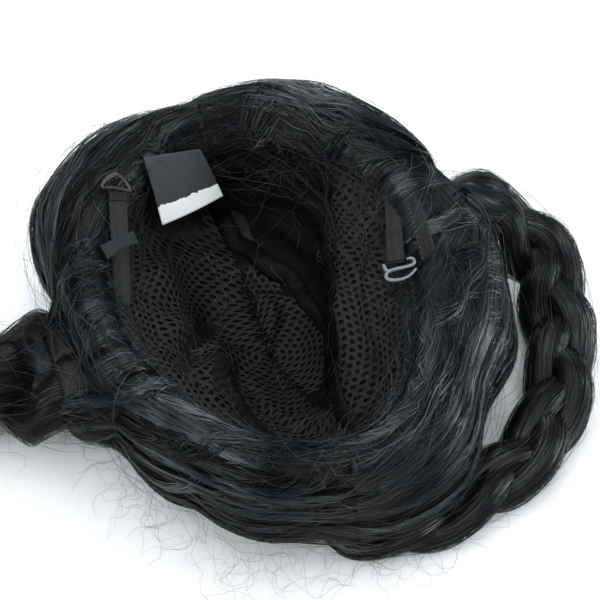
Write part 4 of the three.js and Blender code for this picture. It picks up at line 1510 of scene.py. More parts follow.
@dataclass
class Braid:
    """One plait of three strands with its neck, its elastic tie and its loose end."""

    side: Side
    line: BraidLine
    seed: int
    strand_width: float = 25 * MM
    strand_depth: float = 21 * MM
    sway: float = 10 * MM
    rise: float = 5.5 * MM
    plait_length: float = 128 * MM
    neck_length: float = 10 * MM
    neck_radius: float = 8 * MM
    tuft_length: float = 46 * MM
    fibres: int = 900
    stations: int = 16

    def build(self) -> None:
        """Makes the strands, the fibres on them, the tie and the loose end."""
        name = self.side.value
        strands = bmesh.new()
        for strand in range(3):
            part = self.core(strand)
            data = bpy.data.meshes.new("strand")
            part.to_mesh(data)
            part.free()
            strands.from_mesh(data)
            bpy.data.meshes.remove(data)
        finish = CoreFinish("braid_core", vector="UV", across=110.0, along=7.0, depth=0.001)
        add_piece(f"braid_{name}_core", strands, finish.material(), [f"braid_{name}"])
        self.add_fibres()
        self.add_tie()
        self.add_tuft()

    def surface(self, strand: int, along: np.ndarray, angle: np.ndarray, lift: np.ndarray):
        """Finds places on one strand.

        Args:
            strand: Which of the three.
            along: Distances along the braid.
            angle: Angles round the strand.
            lift: Distances off its surface.

        Returns:
            The places and the directions off the strand.
        """
        middle, _, side, over = self.line.frame(along)
        size = self.line.size(along)
        close = ease(along, self.line.length - 26 * MM, self.line.length - 4 * MM)
        phase = 2 * np.pi * along / self.plait_length + strand * 2 * np.pi / 3
        side_shift = size * self.sway * np.sin(phase) * (1 - 0.65 * close)
        over_shift = size * self.rise * np.sin(2 * phase) * (1 - 0.6 * close)
        lobes = 1 + 0.035 * np.cos(5 * angle + 9 * phase / 2 + strand) + 0.02 * np.cos(9 * angle - 3 * phase)
        half_side = size * self.strand_width / 2 * lobes * (1 - 0.42 * close) - 1.4 * MM
        half_over = size * self.strand_depth / 2 * lobes * (1 - 0.38 * close) - 1.4 * MM
        level, raised = np.cos(angle), np.sin(angle)
        off = unit(side * (level / half_side)[..., None] + over * (raised / half_over)[..., None])
        place = middle + side * (side_shift + half_side * level)[..., None]
        place = place + over * (over_shift + half_over * raised)[..., None]
        return place + off * lift[..., None], off

    def core(self, strand: int) -> bmesh.types.BMesh:
        """Returns one strand as a closed form."""
        along = np.linspace(2 * MM, self.line.length + self.neck_length, 96)
        angle = np.linspace(0, 2 * np.pi, 20, endpoint=False)
        along, angle = np.meshgrid(along, angle, indexing="ij")
        places = self.surface(strand, along, angle, np.full_like(along, -0.5 * MM))[0]
        return grid_mesh(places, closed=True, capped=True)

    def add_fibres(self) -> None:
        """Lays fine fibres along the three strands."""
        rng = np.random.default_rng(self.seed)
        middles, facing, widths, tones = [], [], [], []
        run = np.linspace(0, 1, self.stations)[None, :]
        for strand in range(3):
            begin = rng.uniform(-0.04, self.line.length - 0.03, (self.fibres, 1))
            along = begin + rng.uniform(0.06, 0.15, (self.fibres, 1)) * run
            along = np.clip(along, 3 * MM, self.line.length + self.neck_length)
            lock = rng.integers(0, 13, (self.fibres, 1))
            angle = (lock + rng.normal(0.5, 0.33, (self.fibres, 1))) * 2 * np.pi / 13
            wander = FibreSet(rng, self.fibres, self.stations).waves(0.1, 0.05)
            angle = angle + 0.05 * wander + 4.0 * (along - begin)
            within = (angle * 13 / (2 * np.pi)) % 1.0 - 0.5
            lift = (0.2 + 0.7 * np.sqrt(np.clip(1 - 4 * within**2, 0, 1))) * MM
            lift = lift + rng.uniform(0, 0.5 * MM, (self.fibres, 1))
            place, off = self.surface(strand, along, angle, lift)
            place[..., 2] = np.maximum(place[..., 2], TABLE_GAP)
            across = unit(np.cross(off, along_axis(place)))
            tilt = rng.normal(0, 0.13, (self.fibres, 1)) + 0 * along
            middles.append(place)
            facing.append(off * np.cos(tilt)[..., None] + across * np.sin(tilt)[..., None])
            taper = np.minimum(1, 0.2 + 6 * (1 - run)) * np.minimum(1, 0.2 + 6 * run)
            widths.append(0.17 * MM * rng.uniform(0.6, 1.25, (self.fibres, 1)) * taper)
            glow = rng.uniform(0, 1, 13)[lock[:, 0]]
            tones.append(np.clip(0.2 + 0.7 * glow + rng.normal(0, 0.2, self.fibres), 0, 1))
        data = ribbon_mesh(
            f"braid_{self.side.value}_fibres",
            np.concatenate(middles),
            np.concatenate(facing),
            np.concatenate(widths),
            np.concatenate(tones),
        )
        finish = FibreFinish("braid_fibre", light=(0.006, 0.0068, 0.0082), gloss=0.5)
        add_object(data.name, data, finish.material())

    def add_tie(self) -> None:
        """Winds the elastic tie round the neck."""
        mesh = bmesh.new()
        turns, sides = 40, 8
        bead = 1.05 * MM
        middle, ahead, side, over = (
            value[0] for value in self.line.frame(np.array([self.line.length + self.neck_length / 2]))
        )
        for offset in (-2.0, 0.0, 2.0):
            turn = np.linspace(0, 2 * np.pi, turns, endpoint=False)[:, None]
            angle = np.linspace(0, 2 * np.pi, sides, endpoint=False)[None, :]
            reach = self.neck_radius + 1.35 * MM + bead * np.cos(angle) + 0 * turn
            level = offset * MM + 0.45 * MM * np.sin(turn + offset) + bead * np.sin(angle)
            places = middle + ahead * level[..., None]
            places = places + (side * np.cos(turn)[..., None] + over * np.sin(turn)[..., None]) * reach[..., None]
            places = np.concatenate([places, places[:1]], axis=0)
            loop = grid_mesh(places, closed=True)
            bmesh.ops.remove_doubles(loop, verts=loop.verts[:], dist=1e-6)
            bmesh.ops.recalc_face_normals(loop, faces=loop.faces[:])
            data = bpy.data.meshes.new("loop")
            loop.to_mesh(data)
            loop.free()
            mesh.from_mesh(data)
            bpy.data.meshes.remove(data)
        name = self.side.value
        finish = WebbingFinish("tie_elastic", ribs=8.0, picks=70.0)
        add_piece(f"braid_tie_{name}_coils", mesh, finish.material(), [f"braid_tie_{name}"])

    def add_tuft(self) -> None:
        """Makes the loose end below the tie: a dense heart and fibres that part into locks."""
        name = self.side.value
        core = merged_copy(f"tuft_{name}")
        heart = add_piece(f"tuft_{name}_core", core, CoreFinish("tuft_core").material(), [f"tuft_{name}"])
        remeshed(heart, 1.6 * MM, 8, 0.5)
        rng = np.random.default_rng(self.seed + 3)
        count, stations = 480, 14
        run = np.linspace(0, 1, stations)[None, :]
        start = self.line.length + self.neck_length - 5 * MM
        reach = rng.uniform(0.72, 1.0, (count, 1)) * (self.tuft_length + 4 * MM)
        along = start + reach * run
        middle, ahead, side, over = self.line.frame(along)
        lock = rng.integers(0, 7, (count, 1))
        angle = (lock + rng.normal(0.5, 0.16, (count, 1))) * 2 * np.pi / 7 + 0.5 * run
        swell = np.interp(run, [0, 0.12, 0.3, 0.5, 0.72, 0.88, 1], [7.6, 8.2, 12.6, 14.6, 12.0, 7.8, 3.4]) * MM
        swell = swell * (1 - 0.25 * rng.uniform(0, 1, (count, 1)) ** 2)
        off = side * np.cos(angle)[..., None] + 0.75 * over * np.sin(angle)[..., None]
        place = middle + off * swell[..., None]
        place = place + 0.5 * MM * FibreSet(rng, count, stations).waves(0.05, 0.02)[..., None] * side
        place[..., 2] = np.maximum(place[..., 2], TABLE_GAP)
        taper = np.minimum(1, 0.15 + 3 * (1 - run)) * np.ones((count, 1))
        data = ribbon_mesh(f"tuft_{name}_fibres", place, unit(off), 0.25 * MM * taper, rng.uniform(0, 1, count))
        add_object(data.name, data, FibreFinish("tuft_fibre").material())


# Tapes, straps and what they hold

STRAP_LEFT = ((-54.4, 74.1, 90.0), (-45.5, 72.4, 88.5), (-68.8, 14.9, 71.0), (-60.5, 16.0, 66.0))
STRAP_RIGHT = ((83.3, 35.8, 82.0), (90.7, 31.1, 85.5), (65.5, -12.6, 78.5), (73.2, -15.8, 80.5))
KEEPER = ((-66.1, 30.9, 88.0), (-67.2, 38.0, 89.0), (-48.6, 38.8, 84.5), (-49.0, 44.6, 86.0))
SIDE_TAPE = ((90.1, 29.6, 85.0), (95.5, 25.6, 87.0), (79.7, -21.3, 84.0), (88.0, -22.0, 84.5))
LABEL = ((-31.2, 91.7, 88.5), (0.3, 93.7, 82.0), (-30.0, 70.2, 57.0), (8.0, 82.0, 54.0))
HOOK_LEFT_MIDDLE = (-50.3, 70.8, 91.0)
HOOK_RIGHT_MIDDLE = (67.6, -17.4, 81.5)
HOOK_RING = (
    (-3.5, 0.8), (-7.2, 0.2), (-7.9, 2.8), (-5.2, 5.8), (-2.0, 7.8), (0.5, 8.8), (3.8, 6.8), (5.6, 4.4), (7.2, 1.2),
    (6.4, 0.0), (2.5, 0.6), (-4.5, 1.0),
)
HOOK_CATCH = (
    (5.6, 3.0), (7.8, 3.4), (9.6, 1.6), (9.2, -0.9), (6.4, -1.5), (1.2, -1.7),
    (-3.4, -2.1), (-5.0, -3.4), (-5.4, -5.6),
    (-4.0, -7.4), (-0.8, -8.4), (3.4, -8.5), (7.2, -7.0), (10.2, -3.6),
)
HOOK_HORN = ((-3.6, -2.6), (-5.0, -1.6), (-5.8, 0.4), (-6.4, 2.2))


@dataclass
class Strip:
    """A strip of cloth or tape between four corners in mm: two at its near end, two at its far end."""

    corners: tuple[tuple[float, float, float], ...]
    bulge: float = 0.0

    def __post_init__(self) -> None:
        """Finds the strip's directions."""
        self.near_left, self.near_right, self.far_left, self.far_right = np.array(self.corners) * MM
        self.ahead = unit(self.far_left + self.far_right - self.near_left - self.near_right)
        across = self.near_right + self.far_right - self.near_left - self.far_left
        self.off = unit(np.cross(self.ahead, across))
        self.across = np.cross(self.off, self.ahead)
        self.width = float(np.linalg.norm(across)) / 2

    def place(self, share: np.ndarray, wide: np.ndarray, lift: np.ndarray) -> np.ndarray:
        """Returns places at a share along, a share of the width from the middle and a lift off the strip."""
        left = mix(self.near_left, self.far_left, share[..., None])
        right = mix(self.near_right, self.far_right, share[..., None])
        rise = lift + self.bulge * 4 * share * (1 - share)
        return (left + right) / 2 + (right - left) * wide[..., None] + self.off * rise[..., None]

    def band(
        self,
        thickness: float,
        start: float = 0.0,
        end: float = 1.0,
        lift: float = 0.0,
        ribs: int = 0,
        steps: int = 60,
        flare: float = 0.0,
    ) -> bmesh.types.BMesh:
        """Makes a closed band on the strip.

        Args:
            thickness: Thickness off the strip.
            start: Share of the strip where it starts.
            end: Share where it ends.
            lift: Height of its middle.
            ribs: Cords along it that stand out.
            steps: Stations along it.
            flare: Share by which its ends are wider than its middle.

        Returns:
            The band, with UV x round it and UV y along it.
        """
        front = np.linspace(-1, 1, 25)
        edge = np.sqrt(np.clip(1.06 - np.abs(front) ** 6, 0.06, 1))
        cord = 0.16 * np.cos(np.pi * ribs * front) if ribs else 0 * front
        high = (0.5 * edge + cord * edge) * thickness
        around = np.concatenate([front, front[::-1]]) / 2
        share, wide = np.meshgrid(np.linspace(start, end, steps), around, indexing="ij")
        rise = np.concatenate([high, -high[::-1]]) + lift + 0 * share
        wide = wide * (1 + flare * (2 * share - 1) ** 2)
        return grid_mesh(self.place(share, wide, rise), closed=True, capped=True)

    def stitch(self, share: float, wide: float, lift: float, length: float, turn: float) -> bmesh.types.BMesh:
        """Makes one stitch, a short thread with rounded ends.

        Args:
            share: Place along the strip.
            wide: Place across it, as a share of its width from the middle.
            lift: Height off the strip.
            length: Length of the stitch.
            turn: Angle from the strip's direction, in radians.

        Returns:
            The stitch.
        """
        mesh = bmesh.new()
        bmesh.ops.create_icosphere(mesh, subdivisions=1, radius=0.5)
        centre = self.place(np.array([share]), np.array([wide]), np.array([lift]))[0]
        along = self.ahead * math.cos(turn) + self.across * math.sin(turn)
        beside = np.cross(self.off, along)
        for vert in mesh.verts:
            x, y, z = vert.co
            vert.co = centre + along * x * length + beside * y * 0.45 * MM + self.off * z * 0.4 * MM
        bmesh.ops.recalc_face_normals(mesh, faces=mesh.faces[:])
        return mesh

    def rod(self, centre: tuple[float, float, float], points: Sequence[tuple[float, float]], wire: float):
        """Makes a flat rounded rod that bends in the strip's plane.

        Args:
            centre: Middle of the points, in mm.
            points: Places across and towards the near end, in mm.
            wire: Width of the rod in its middle.

        Returns:
            The rod.
        """
        line = np.array(points, dtype=float)
        for _ in range(3):
            low, high = mix(line[:-1], line[1:], np.array(0.25)), mix(line[:-1], line[1:], np.array(0.75))
            line = np.concatenate([line[:1], np.stack([low, high], axis=1).reshape(-1, 2), line[-1:]])
        path = np.array(centre) * MM + (self.across * line[:, :1] - self.ahead * line[:, 1:]) * MM
        beside = unit(np.cross(self.off, along_axis(path)))
        run = np.linspace(0, 1, len(path))
        half = wire / 2 * (0.62 + 0.38 * np.sin(np.pi * run) ** 0.7)
        angle = np.linspace(0, 2 * np.pi, 10, endpoint=False)
        rings = [
            path + beside * (half * math.cos(turn))[:, None] + self.off * (0.75 * half * math.sin(turn))[:, None]
            for turn in angle
        ]
        mesh = grid_mesh(np.stack(rings, axis=1), closed=True, capped=True)
        bmesh.ops.recalc_face_normals(mesh, faces=mesh.faces[:])
        return mesh


@dataclass
class Fittings:
    """The straps, hooks, keeper, label and tapes on the inside of the cap."""

    strap_thickness: float = 1.0 * MM
    left: Strip = field(default_factory=lambda: Strip(STRAP_LEFT, 1.5 * MM))
    right: Strip = field(default_factory=lambda: Strip(STRAP_RIGHT, 1.0 * MM))

    def build(self) -> None:
        """Makes every fitting."""
        self.add_strap(Side.LEFT, self.left, (0.0, 0.11), (0.095, 0.105))
        self.add_strap(Side.RIGHT, self.right, (0.6, 0.985), (0.63, 0.66))
        self.add_keeper()
        self.add_side_tape()
        self.add_hooks()
        self.add_label()

    def add_strap(self, side: Side, strip: Strip, doubled: tuple[float, float], sewn: tuple[float, float]) -> None:
        """Makes one ribbed adjuster elastic, doubled at its hook end and sewn across.

        Args:
            side: The wearer's side.
            strip: Where it lies.
            doubled: Shares of the strip between which it is doubled.
            sewn: Shares at which it is sewn across.
        """
        elastic = WebbingFinish(
            "strap_elastic", ribs=22.0, picks=95.0, roughness=0.6,
            dark=(0.006, 0.0065, 0.007), light=(0.026, 0.027, 0.0285),
        )
        parts = [
            strip.band(self.strap_thickness, lift=-0.25 * MM, ribs=9),
            strip.band(0.9 * MM, *doubled, lift=0.75 * MM, ribs=9, steps=24, flare=0.05),
        ]
        node = f"strap_{side.value}"
        add_piece(f"{node}_elastic", joined_mesh(parts), elastic.material(), [node])
        stitches = [
            strip.stitch(share, wide, 1.3 * MM, 1.0 * MM, math.pi / 2 + 0.4 * row)
            for row, share in enumerate(sewn)
            for wide in np.linspace(-0.42, 0.42, 9)
        ]
        thread = WebbingFinish("strap_thread", ribs=2.0, picks=6.0)
        add_piece(f"{node}_stitches", joined_mesh(stitches), thread.material())

    def add_keeper(self) -> None:
        """Makes the short tab that crosses the left strap."""
        dark, light = (0.009, 0.0095, 0.0105), (0.024, 0.026, 0.028)
        finish = WebbingFinish("keeper_tape", ribs=26.0, picks=60.0, dark=dark, light=light)
        tab = Strip(KEEPER, 1.2 * MM).band(0.7 * MM, ribs=0, flare=0.3)
        add_piece("strap_keeper_left_tape", tab, finish.material(), ["strap_keeper_left"])

    def add_side_tape(self) -> None:
        """Makes the tape beside the right strap with its row of stitches."""
        strip = Strip(SIDE_TAPE, 3.2 * MM)
        dark, light = (0.004, 0.0042, 0.005), (0.017, 0.018, 0.02)
        finish = WebbingFinish("side_tape", ribs=30.0, picks=150.0, dark=dark, light=light)
        add_piece("side_tape_right_band", strip.band(0.9 * MM, ribs=3), finish.material(), ["side_tape_right"])
        stitches = [strip.stitch(share, -0.4, 0.6 * MM, 1.5 * MM, 0.0) for share in np.linspace(0.2, 0.97, 14)]
        thread = WebbingFinish("side_thread", ribs=2.0, picks=6.0, light=(0.12, 0.12, 0.125))
        add_piece("side_tape_right_stitches", joined_mesh(stitches), thread.material())

    def add_hooks(self) -> None:
        """Makes the two moulded hooks: a ring on the left strap, a horn and a catch on the right one."""
        black = PlasticFinish("hook_black", (0.006, 0.006, 0.007), (0.014, 0.014, 0.016), 0.26, 0.4)
        grey = PlasticFinish("hook_grey", (0.11, 0.12, 0.127), (0.22, 0.235, 0.245), 0.2, 0.34)
        ring = self.left.rod(HOOK_LEFT_MIDDLE, HOOK_RING, 2.4 * MM)
        add_piece("hook_left_moulded", ring, black.material(), ["hook_left"])
        parts = [self.right.rod(HOOK_RIGHT_MIDDLE, points, 1.9 * MM) for points in (HOOK_CATCH, HOOK_HORN)]
        add_piece("hook_right_moulded", joined_mesh(parts), grey.material(), ["hook_right"])

    def add_label(self) -> None:
        """Makes the folded satin label, its two layers open at the sides."""
        strip = Strip(LABEL, 0.6 * MM)
        run, aside = np.meshgrid(np.linspace(0.0, 1.0, 40), np.linspace(-0.5, 0.5, 40), indexing="ij")
        curl = 1.8 * MM * run**2 * np.cos(np.pi * aside) + 0.35 * MM * np.sin(3.1 * run + 3 * aside) * run
        front = strip.place(run, aside, curl)
        satin = LabelFinish("label_satin").material()
        piece = add_piece("care_label_satin", grid_mesh(front), satin, ["care_label"])
        solid = piece.modifiers.new("Layers", "SOLIDIFY")
        solid.thickness = 0.35 * MM
        solid.offset = -1.0


@dataclass
class Hem:
    """The elastic tape sewn round the cap's edge, with its gathers."""

    edge: CapEdge
    height: float = 5 * MM
    thickness: float = 1.7 * MM

    def build(self) -> None:
        """Makes the tape."""
        turn = np.linspace(0, 2 * np.pi, 480, endpoint=False)
        section = np.linspace(0, 2 * np.pi, 14, endpoint=False)
        turns, angle = np.meshgrid(turn, section, indexing="ij")
        gather = 1 + 0.1 * np.sin(150 * turns) + 0.06 * np.sin(61 * turns + 1.0)
        out = self.edge.outward(turns)
        wide = np.sign(np.cos(angle)) * np.abs(np.cos(angle)) ** 0.6 * self.thickness / 2 * gather
        high = np.sign(np.sin(angle)) * np.abs(np.sin(angle)) ** 0.6 * self.height / 2 * (1 + 0.03 * gather)
        places = self.edge.place(turns) + out * wide[..., None] + UP * high[..., None]
        places = np.concatenate([places, places[:1]], axis=0)
        mesh = grid_mesh(places, closed=True)
        bmesh.ops.remove_doubles(mesh, verts=mesh.verts[:], dist=1e-6)
        bmesh.ops.recalc_face_normals(mesh, faces=mesh.faces[:])
        dark, light = (0.002, 0.002, 0.0024), (0.009, 0.0095, 0.0105)
        finish = WebbingFinish("hem_woven", ribs=10.0, picks=420.0, dark=dark, light=light)
        add_piece("hem_tape", mesh, finish.material(), ["edge_tape"])


# Loose hairs


@dataclass
class LooseHairs:
    """Fuzz at the cap's edge, hairs off the outline, and stray hairs over the opening and the table."""

    wall: CapWall
    form: HairForm
    lines: dict[Side, BraidLine]
    seed: int = 41
    hair_radius: float = 0.085 * MM
    low: tuple[float, float, float] = (-0.314, -0.149, 0.0)
    high: tuple[float, float, float] = (0.206, 0.148, 0.113)

    def build(self) -> None:
        """Makes every set of loose hairs."""
        rng = np.random.default_rng(self.seed)
        # Painted sheen in part: the loose hairs are the same black fibre, given a far paler light tone so the frizz
        # reads as catching light.
        finish = FibreFinish(
            "loose_hair", light=(0.034, 0.039, 0.045), smoothest=0.26, roughest=0.42, dull=0.2, gloss=1.3
        )
        sets = {
            "rim_curls": self.rim_curls(rng, 1180, 13),
            "rim_fuzz": self.rim_fuzz(rng, 2250, 6),
            "net_hairs": self.net_hairs(rng, 150, 20),
            "flyaway_hairs": self.flyaways(rng, 440, 14),
            "braid_fuzz_left": self.braid_fuzz(rng, self.lines[Side.LEFT], 320, 8),
            "braid_fuzz_right": self.braid_fuzz(rng, self.lines[Side.RIGHT], 320, 8),
            "table_hairs": self.table_hairs(rng, 210, 10),
        }
        low, high = np.array(self.low), np.array(self.high)
        for name, (middles, radii) in sets.items():
            kept = ((middles > low) & (middles < high)).all(axis=(1, 2))
            data = thread_mesh(name, middles[kept], radii[kept], rng.uniform(0, 1, int(kept.sum())))
            add_object(name, data, finish.material())

    def net_hairs(self, rng: np.random.Generator, count: int, stations: int) -> tuple[np.ndarray, np.ndarray]:
        """Lays wavy stray hairs over the net, inside the cap.

        Args:
            rng: Seeded source of random numbers.
            count: Number of hairs.
            stations: Points along each.

        Returns:
            Middle lines and radii.
        """
        run = np.linspace(0, 1, stations)[None, :]
        length = rng.uniform(0.02, 0.11, (count, 1))
        bearing = rng.uniform(0, 2 * np.pi, (count, 1)) + 1.2 * FibreSet(rng, count, stations).waves(0.08, 0.05)
        step = length / (stations - 1)
        share = 1 - rng.uniform(0.04, 0.62, (count, 1)) ** 1.2 + np.cumsum(np.sin(bearing) * step, axis=1) / 0.13
        turn = rng.uniform(0, 2 * np.pi, (count, 1)) + np.cumsum(np.cos(bearing) * step, axis=1) / 0.07
        share = np.clip(share, 0.05, 0.985)
        lift = (1.6 + rng.uniform(0, 5, (count, 1)) * np.sin(np.pi * run) ** 2) * MM
        return self.wall.place(turn, share, lift), self.taper(rng, count, stations)

    def braid_fuzz(
        self, rng: np.random.Generator, line: BraidLine, count: int, stations: int
    ) -> tuple[np.ndarray, np.ndarray]:
        """Lays short hairs that leave a braid at shallow angles.

        Args:
            rng: Seeded source of random numbers.
            line: The braid's middle line.
            count: Number of hairs.
            stations: Points along each.

        Returns:
            Middle lines and radii.
        """
        run = np.linspace(0, 1, stations)[None, :]
        along = rng.uniform(0.03, line.length, (count, 1)) + rng.uniform(-0.05, 0.05, (count, 1)) * run
        middle, _, side, over = line.frame(along)
        angle = rng.uniform(0, 2 * np.pi, (count, 1)) + rng.normal(0, 0.5, (count, 1)) * run
        away = side * np.cos(angle)[..., None] + over * np.sin(angle)[..., None]
        reach = line.size(along) * np.hypot(21 * MM * np.cos(angle), 15.5 * MM * np.sin(angle))
        reach = reach + (-1.5 + rng.uniform(0.5, 7.5, (count, 1)) * run**1.3) * MM
        place = middle + away * reach[..., None]
        place[..., 2] = np.maximum(place[..., 2], TABLE_GAP)
        return place, self.taper(rng, count, stations)

    def table_hairs(self, rng: np.random.Generator, count: int, stations: int) -> tuple[np.ndarray, np.ndarray]:
        """Lays long stray hairs on the table beside the wig.

        Args:
            rng: Seeded source of random numbers.
            count: Number of hairs.
            stations: Points along each.

        Returns:
            Middle lines and radii.
        """
        run = np.linspace(0, 1, stations)[None, :]
        from_braid = rng.random((count, 1)) < 0.35
        along = rng.uniform(0.03, 0.2, (count, 1))
        braid_foot = self.lines[Side.LEFT].frame(along)[0]
        turn = rng.uniform(math.radians(196), math.radians(318), (count, 1))
        body_foot = self.form.bare(turn, np.full_like(turn, -0.35))
        start = np.where(from_braid[..., None], braid_foot, body_foot)
        bearing = rng.normal(-1.75, 0.9, (count, 1)) + 1.5 * FibreSet(rng, count, stations).waves(0.05, 0.04)
        length = rng.uniform(0.01, 0.055, (count, 1))
        way = np.stack([np.cos(bearing), np.sin(bearing), 0 * bearing], axis=-1)
        place = start + np.cumsum(way * (length / (stations - 1))[..., None], axis=1)
        height = 0.3 * MM + (start[..., 2] * 0.5) * np.clip(1 - 3 * run, 0, 1) ** 2
        place[..., 2] = height + rng.uniform(0, 5 * MM, (count, 1)) * np.sin(np.pi * run) ** 2
        return place, 0.6 * self.taper(rng, count, stations)

    def taper(self, rng: np.random.Generator, count: int, stations: int) -> np.ndarray:
        """Returns hair radii that thin towards both ends."""
        run = np.linspace(0, 1, stations)[None, :]
        base = self.hair_radius * rng.uniform(0.7, 1.3, (count, 1))
        return base * np.minimum(1, 0.25 + 4 * (1 - run)) * np.minimum(1, 0.4 + 6 * run)

    def rim_curls(self, rng: np.random.Generator, count: int, stations: int) -> tuple[np.ndarray, np.ndarray]:
        """Lays short curly hairs from the cap's edge outwards over the hair and inwards over the net.

        Args:
            rng: Seeded source of random numbers.
            count: Number of hairs.
            stations: Points along each.

        Returns:
            Middle lines and radii.
        """
        run = np.linspace(0, 1, stations)[None, :]
        start = rng.uniform(0, 2 * np.pi, (count, 1))
        calm = np.exp(-(((start - math.radians(232)) / math.radians(40)) ** 4))
        length = rng.uniform(0.1, 1.0, (count, 1)) ** 1.6 * 0.07 * (1 - 0.85 * calm) + 0.008
        inside = rng.random((count, 1)) < 0.42
        curl = FibreSet(rng, count, stations).waves(0.03, 0.009)
        other = FibreSet(rng, count, stations).waves(0.03, 0.011)
        turn = start + rng.normal(0, 0.22, (count, 1)) * run * (length / 0.02) + 0.018 * curl * run**0.5
        top = self.form.top(turn)
        lift = (0.6 + rng.uniform(0, 3.6, (count, 1)) * np.sin(np.pi * run) + 0.9 * other * run) * MM
        roll = top - 0.01 - (length * run + 0.0012 * other) / 0.05
        place = self.form.bare(turn, roll)
        outer = place + self.form.outward(turn, roll) * np.maximum(lift, 0.2 * MM)[..., None]
        share = 0.985 - np.clip(0.4 * length * run + 0.0008 * other, 0, 0.02) / 0.09
        inner = self.wall.place(turn, share, np.maximum(lift, 0.5 * MM))
        return np.where(inside[..., None], inner, outer), 1.25 * self.taper(rng, count, stations)

    def rim_fuzz(self, rng: np.random.Generator, count: int, stations: int) -> tuple[np.ndarray, np.ndarray]:
        """Lays the short crimped hairs that cross the cap's edge from the hair to the net.

        Args:
            rng: Seeded source of random numbers.
            count: Number of hairs.
            stations: Points along each.

        Returns:
            Middle lines and radii.
        """
        run = np.linspace(0, 1, stations)[None, :]
        start = rng.uniform(0, 2 * np.pi, (count, 1))
        turn = start + rng.normal(0, 0.07, (count, 1)) * run + 0.01 * rng.normal(0, 1, (count, stations))
        edge = self.form.edge
        aside = rng.uniform(-5, 7, (count, 1)) + rng.uniform(-7, 7, (count, 1)) * (run - 0.5)
        aside = aside + rng.normal(0, 0.5, (count, stations))
        high = 2.2 + 1.6 * np.exp(-((aside / 4) ** 2)) + rng.uniform(0, 2.6, (count, 1)) * np.sin(np.pi * run)
        high = high - 0.5 * np.maximum(-aside, 0)
        place = edge.place(turn) + edge.outward(turn) * (aside * MM)[..., None] + UP * (high * MM)[..., None]
        return place, self.taper(rng, count, stations)

    def flyaways(self, rng: np.random.Generator, count: int, stations: int) -> tuple[np.ndarray, np.ndarray]:
        """Lays long loose hairs that leave the hair's outside in shallow arcs.

        Args:
            rng: Seeded source of random numbers.
            count: Number of hairs.
            stations: Points along each.

        Returns:
            Middle lines and radii.
        """
        run = np.linspace(0, 1, stations)[None, :]
        start = rng.uniform(0, 2 * np.pi, (count, 1))
        sweep = rng.uniform(0.25, 0.9, (count, 1)) * rng.choice([-1.0, 1.0], (count, 1))
        turn = start + sweep * run
        roll = rng.uniform(-0.6, 1.3, (count, 1)) + rng.normal(0, 0.5, (count, 1)) * run
        roll = np.minimum(roll, self.form.top(turn) - 0.02)
        most = rng.uniform(0.3, 1, (count, 1)) ** 1.6 * 14
        lift = most * np.sin(np.pi * run * rng.uniform(0.5, 1.0, (count, 1))) * MM + 1 * MM
        lift = lift + 0.8 * MM * FibreSet(rng, count, stations).waves(0.09, 0.03)
        place = self.form.bare(turn, roll) + self.form.outward(turn, roll) * lift[..., None]
        place[..., 2] = np.maximum(place[..., 2], TABLE_GAP)
        return place, 0.95 * self.taper(rng, count, stations)


# The table, the light and the camera


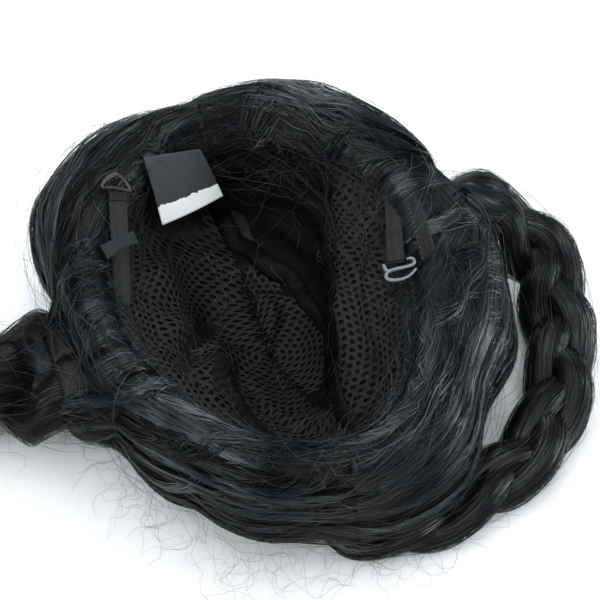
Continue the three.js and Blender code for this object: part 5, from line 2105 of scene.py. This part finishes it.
@dataclass
class Studio:
    """Plain pale table, soft studio light, and the camera at the photograph's angle."""

    target: tuple[float, float, float] = (0.0241, 0.0019, 0.05)
    azimuth: float = math.radians(-20.0)
    elevation: float = math.radians(52.0)
    distance: float = 0.6
    sensor: float = 36.0
    focal_pixels: float = 1158.0
    image_pixels: float = 600.0

    def build(self) -> None:
        """Makes the table, the lights and the camera."""
        self.add_table()
        self.add_light("sky_panel", (-0.05, 0.0, 1.5), 1.9, 27.0)
        self.add_light("front_panel", (-0.1, -1.3, 1.2), 0.9, 3.0)
        self.add_light("back_panel", (0.5, 1.4, 0.5), 1.0, 14.0)
        self.add_light("right_panel", (1.25, -0.48, 0.43), 0.9, 17.0)
        self.add_light("left_panel", (-1.1, -0.3, 0.6), 0.8, 8.5)
        world = bpy.data.worlds.new("studio")
        bpy.context.scene.world = world
        world.use_nodes = True
        world.node_tree.nodes["Background"].inputs["Color"].default_value = (0.97, 0.985, 1.0, 1.0)
        world.node_tree.nodes["Background"].inputs["Strength"].default_value = 0.2
        bpy.context.scene.view_settings.view_transform = "Standard"
        self.add_camera()

    def add_table(self) -> None:
        """Makes the pale table."""
        mesh = bmesh.new()
        bmesh.ops.create_grid(mesh, x_segments=8, y_segments=8, size=4.0)
        data = bpy.data.meshes.new("table")
        mesh.to_mesh(data)
        mesh.free()
        data.materials.append(TableFinish("table_white").material())
        table = bpy.data.objects.new("table", data)
        bpy.context.scene.collection.objects.link(table)

    def add_light(self, name: str, place: tuple[float, float, float], size: float, power: float) -> None:
        """Hangs one soft square light that faces the wig.

        Args:
            name: Its name.
            place: Where it hangs.
            size: Length of its side.
            power: Its power in watts.
        """
        light = bpy.data.lights.new(name, "AREA")
        light.shape = "SQUARE"
        light.size = size
        light.energy = power
        light.color = (0.92, 0.98, 1.0)
        lamp = bpy.data.objects.new(name, light)
        lamp.location = place
        lamp.rotation_euler = (Vector(self.target) - Vector(place)).to_track_quat("-Z", "Y").to_euler()
        bpy.context.scene.collection.objects.link(lamp)

    def add_camera(self) -> None:
        """Sets the camera at the photograph's viewing angle."""
        camera = bpy.data.cameras.new("camera")
        camera.sensor_width = self.sensor
        camera.lens = self.sensor * self.focal_pixels / self.image_pixels
        camera.clip_start = 0.05
        eye = bpy.data.objects.new("camera", camera)
        level = math.cos(self.elevation)
        back = Vector(
            (math.sin(self.azimuth) * level, -math.cos(self.azimuth) * level, math.sin(self.elevation))
        )
        eye.location = Vector(self.target) + back * self.distance
        eye.rotation_euler = (-back).to_track_quat("-Z", "Y").to_euler()
        bpy.context.scene.collection.objects.link(eye)
        bpy.context.scene.camera = eye


RIGHT_LINE = BraidLine(
    points=[
        (98, 36, 55), (124, 32, 56), (152, 21, 45), (166, -5, 28), (159, -38, 16), (140, -75.5, 14.5),
        (108.6, -103.5, 14), (73, -115, 13.2), (41, -120, 12.2), (13, -114, 11.5), (-9, -98, 11.5),
    ],
    sizes=[(0, 0.92), (0.14, 1.02), (0.3, 0.98), (0.5, 0.87), (0.75, 0.77), (1, 0.6)],
)
LEFT_LINE = BraidLine(
    points=[
        (-62, -20, 33), (-84, -5, 35), (-108, 10, 34), (-134, 22, 30), (-166, 34, 23.5),
        (-202, 36, 18.5), (-236, 22, 15), (-260, -8, 13), (-272, -44, 11.5), (-276, -78, 11.5),
    ],
    sizes=[(0, 1.0), (0.14, 1.68), (0.3, 1.52), (0.5, 1.15), (0.75, 0.84), (1, 0.6)],
)


def report(name: str) -> None:
    """Logs that a part of the wig is made."""
    LOG.info("made %s", name)


def main() -> None:
    """Builds the wig in order."""
    logging.basicConfig(level=logging.INFO, format="%(message)s")
    Studio().build()
    report("table, lights and camera")
    edge = CapEdge()
    wall = CapWall(edge)
    NetCap(wall).build()
    report("net")
    Hem(edge).build()
    report("hem")
    Fittings().build()
    report("fittings")
    form = HairForm(edge)
    for side, line, seed in ((Side.LEFT, LEFT_LINE, 11), (Side.RIGHT, RIGHT_LINE, 23)):
        Comb(side, form, line, seed).build()
        report(f"hair {side.value}")
        Braid(side, line, seed + 1).build()
        report(f"braid {side.value}")
    LooseHairs(wall, form, {Side.LEFT: LEFT_LINE, Side.RIGHT: RIGHT_LINE}).build()
    report("loose hairs")


if __name__ == "__main__":
    main()
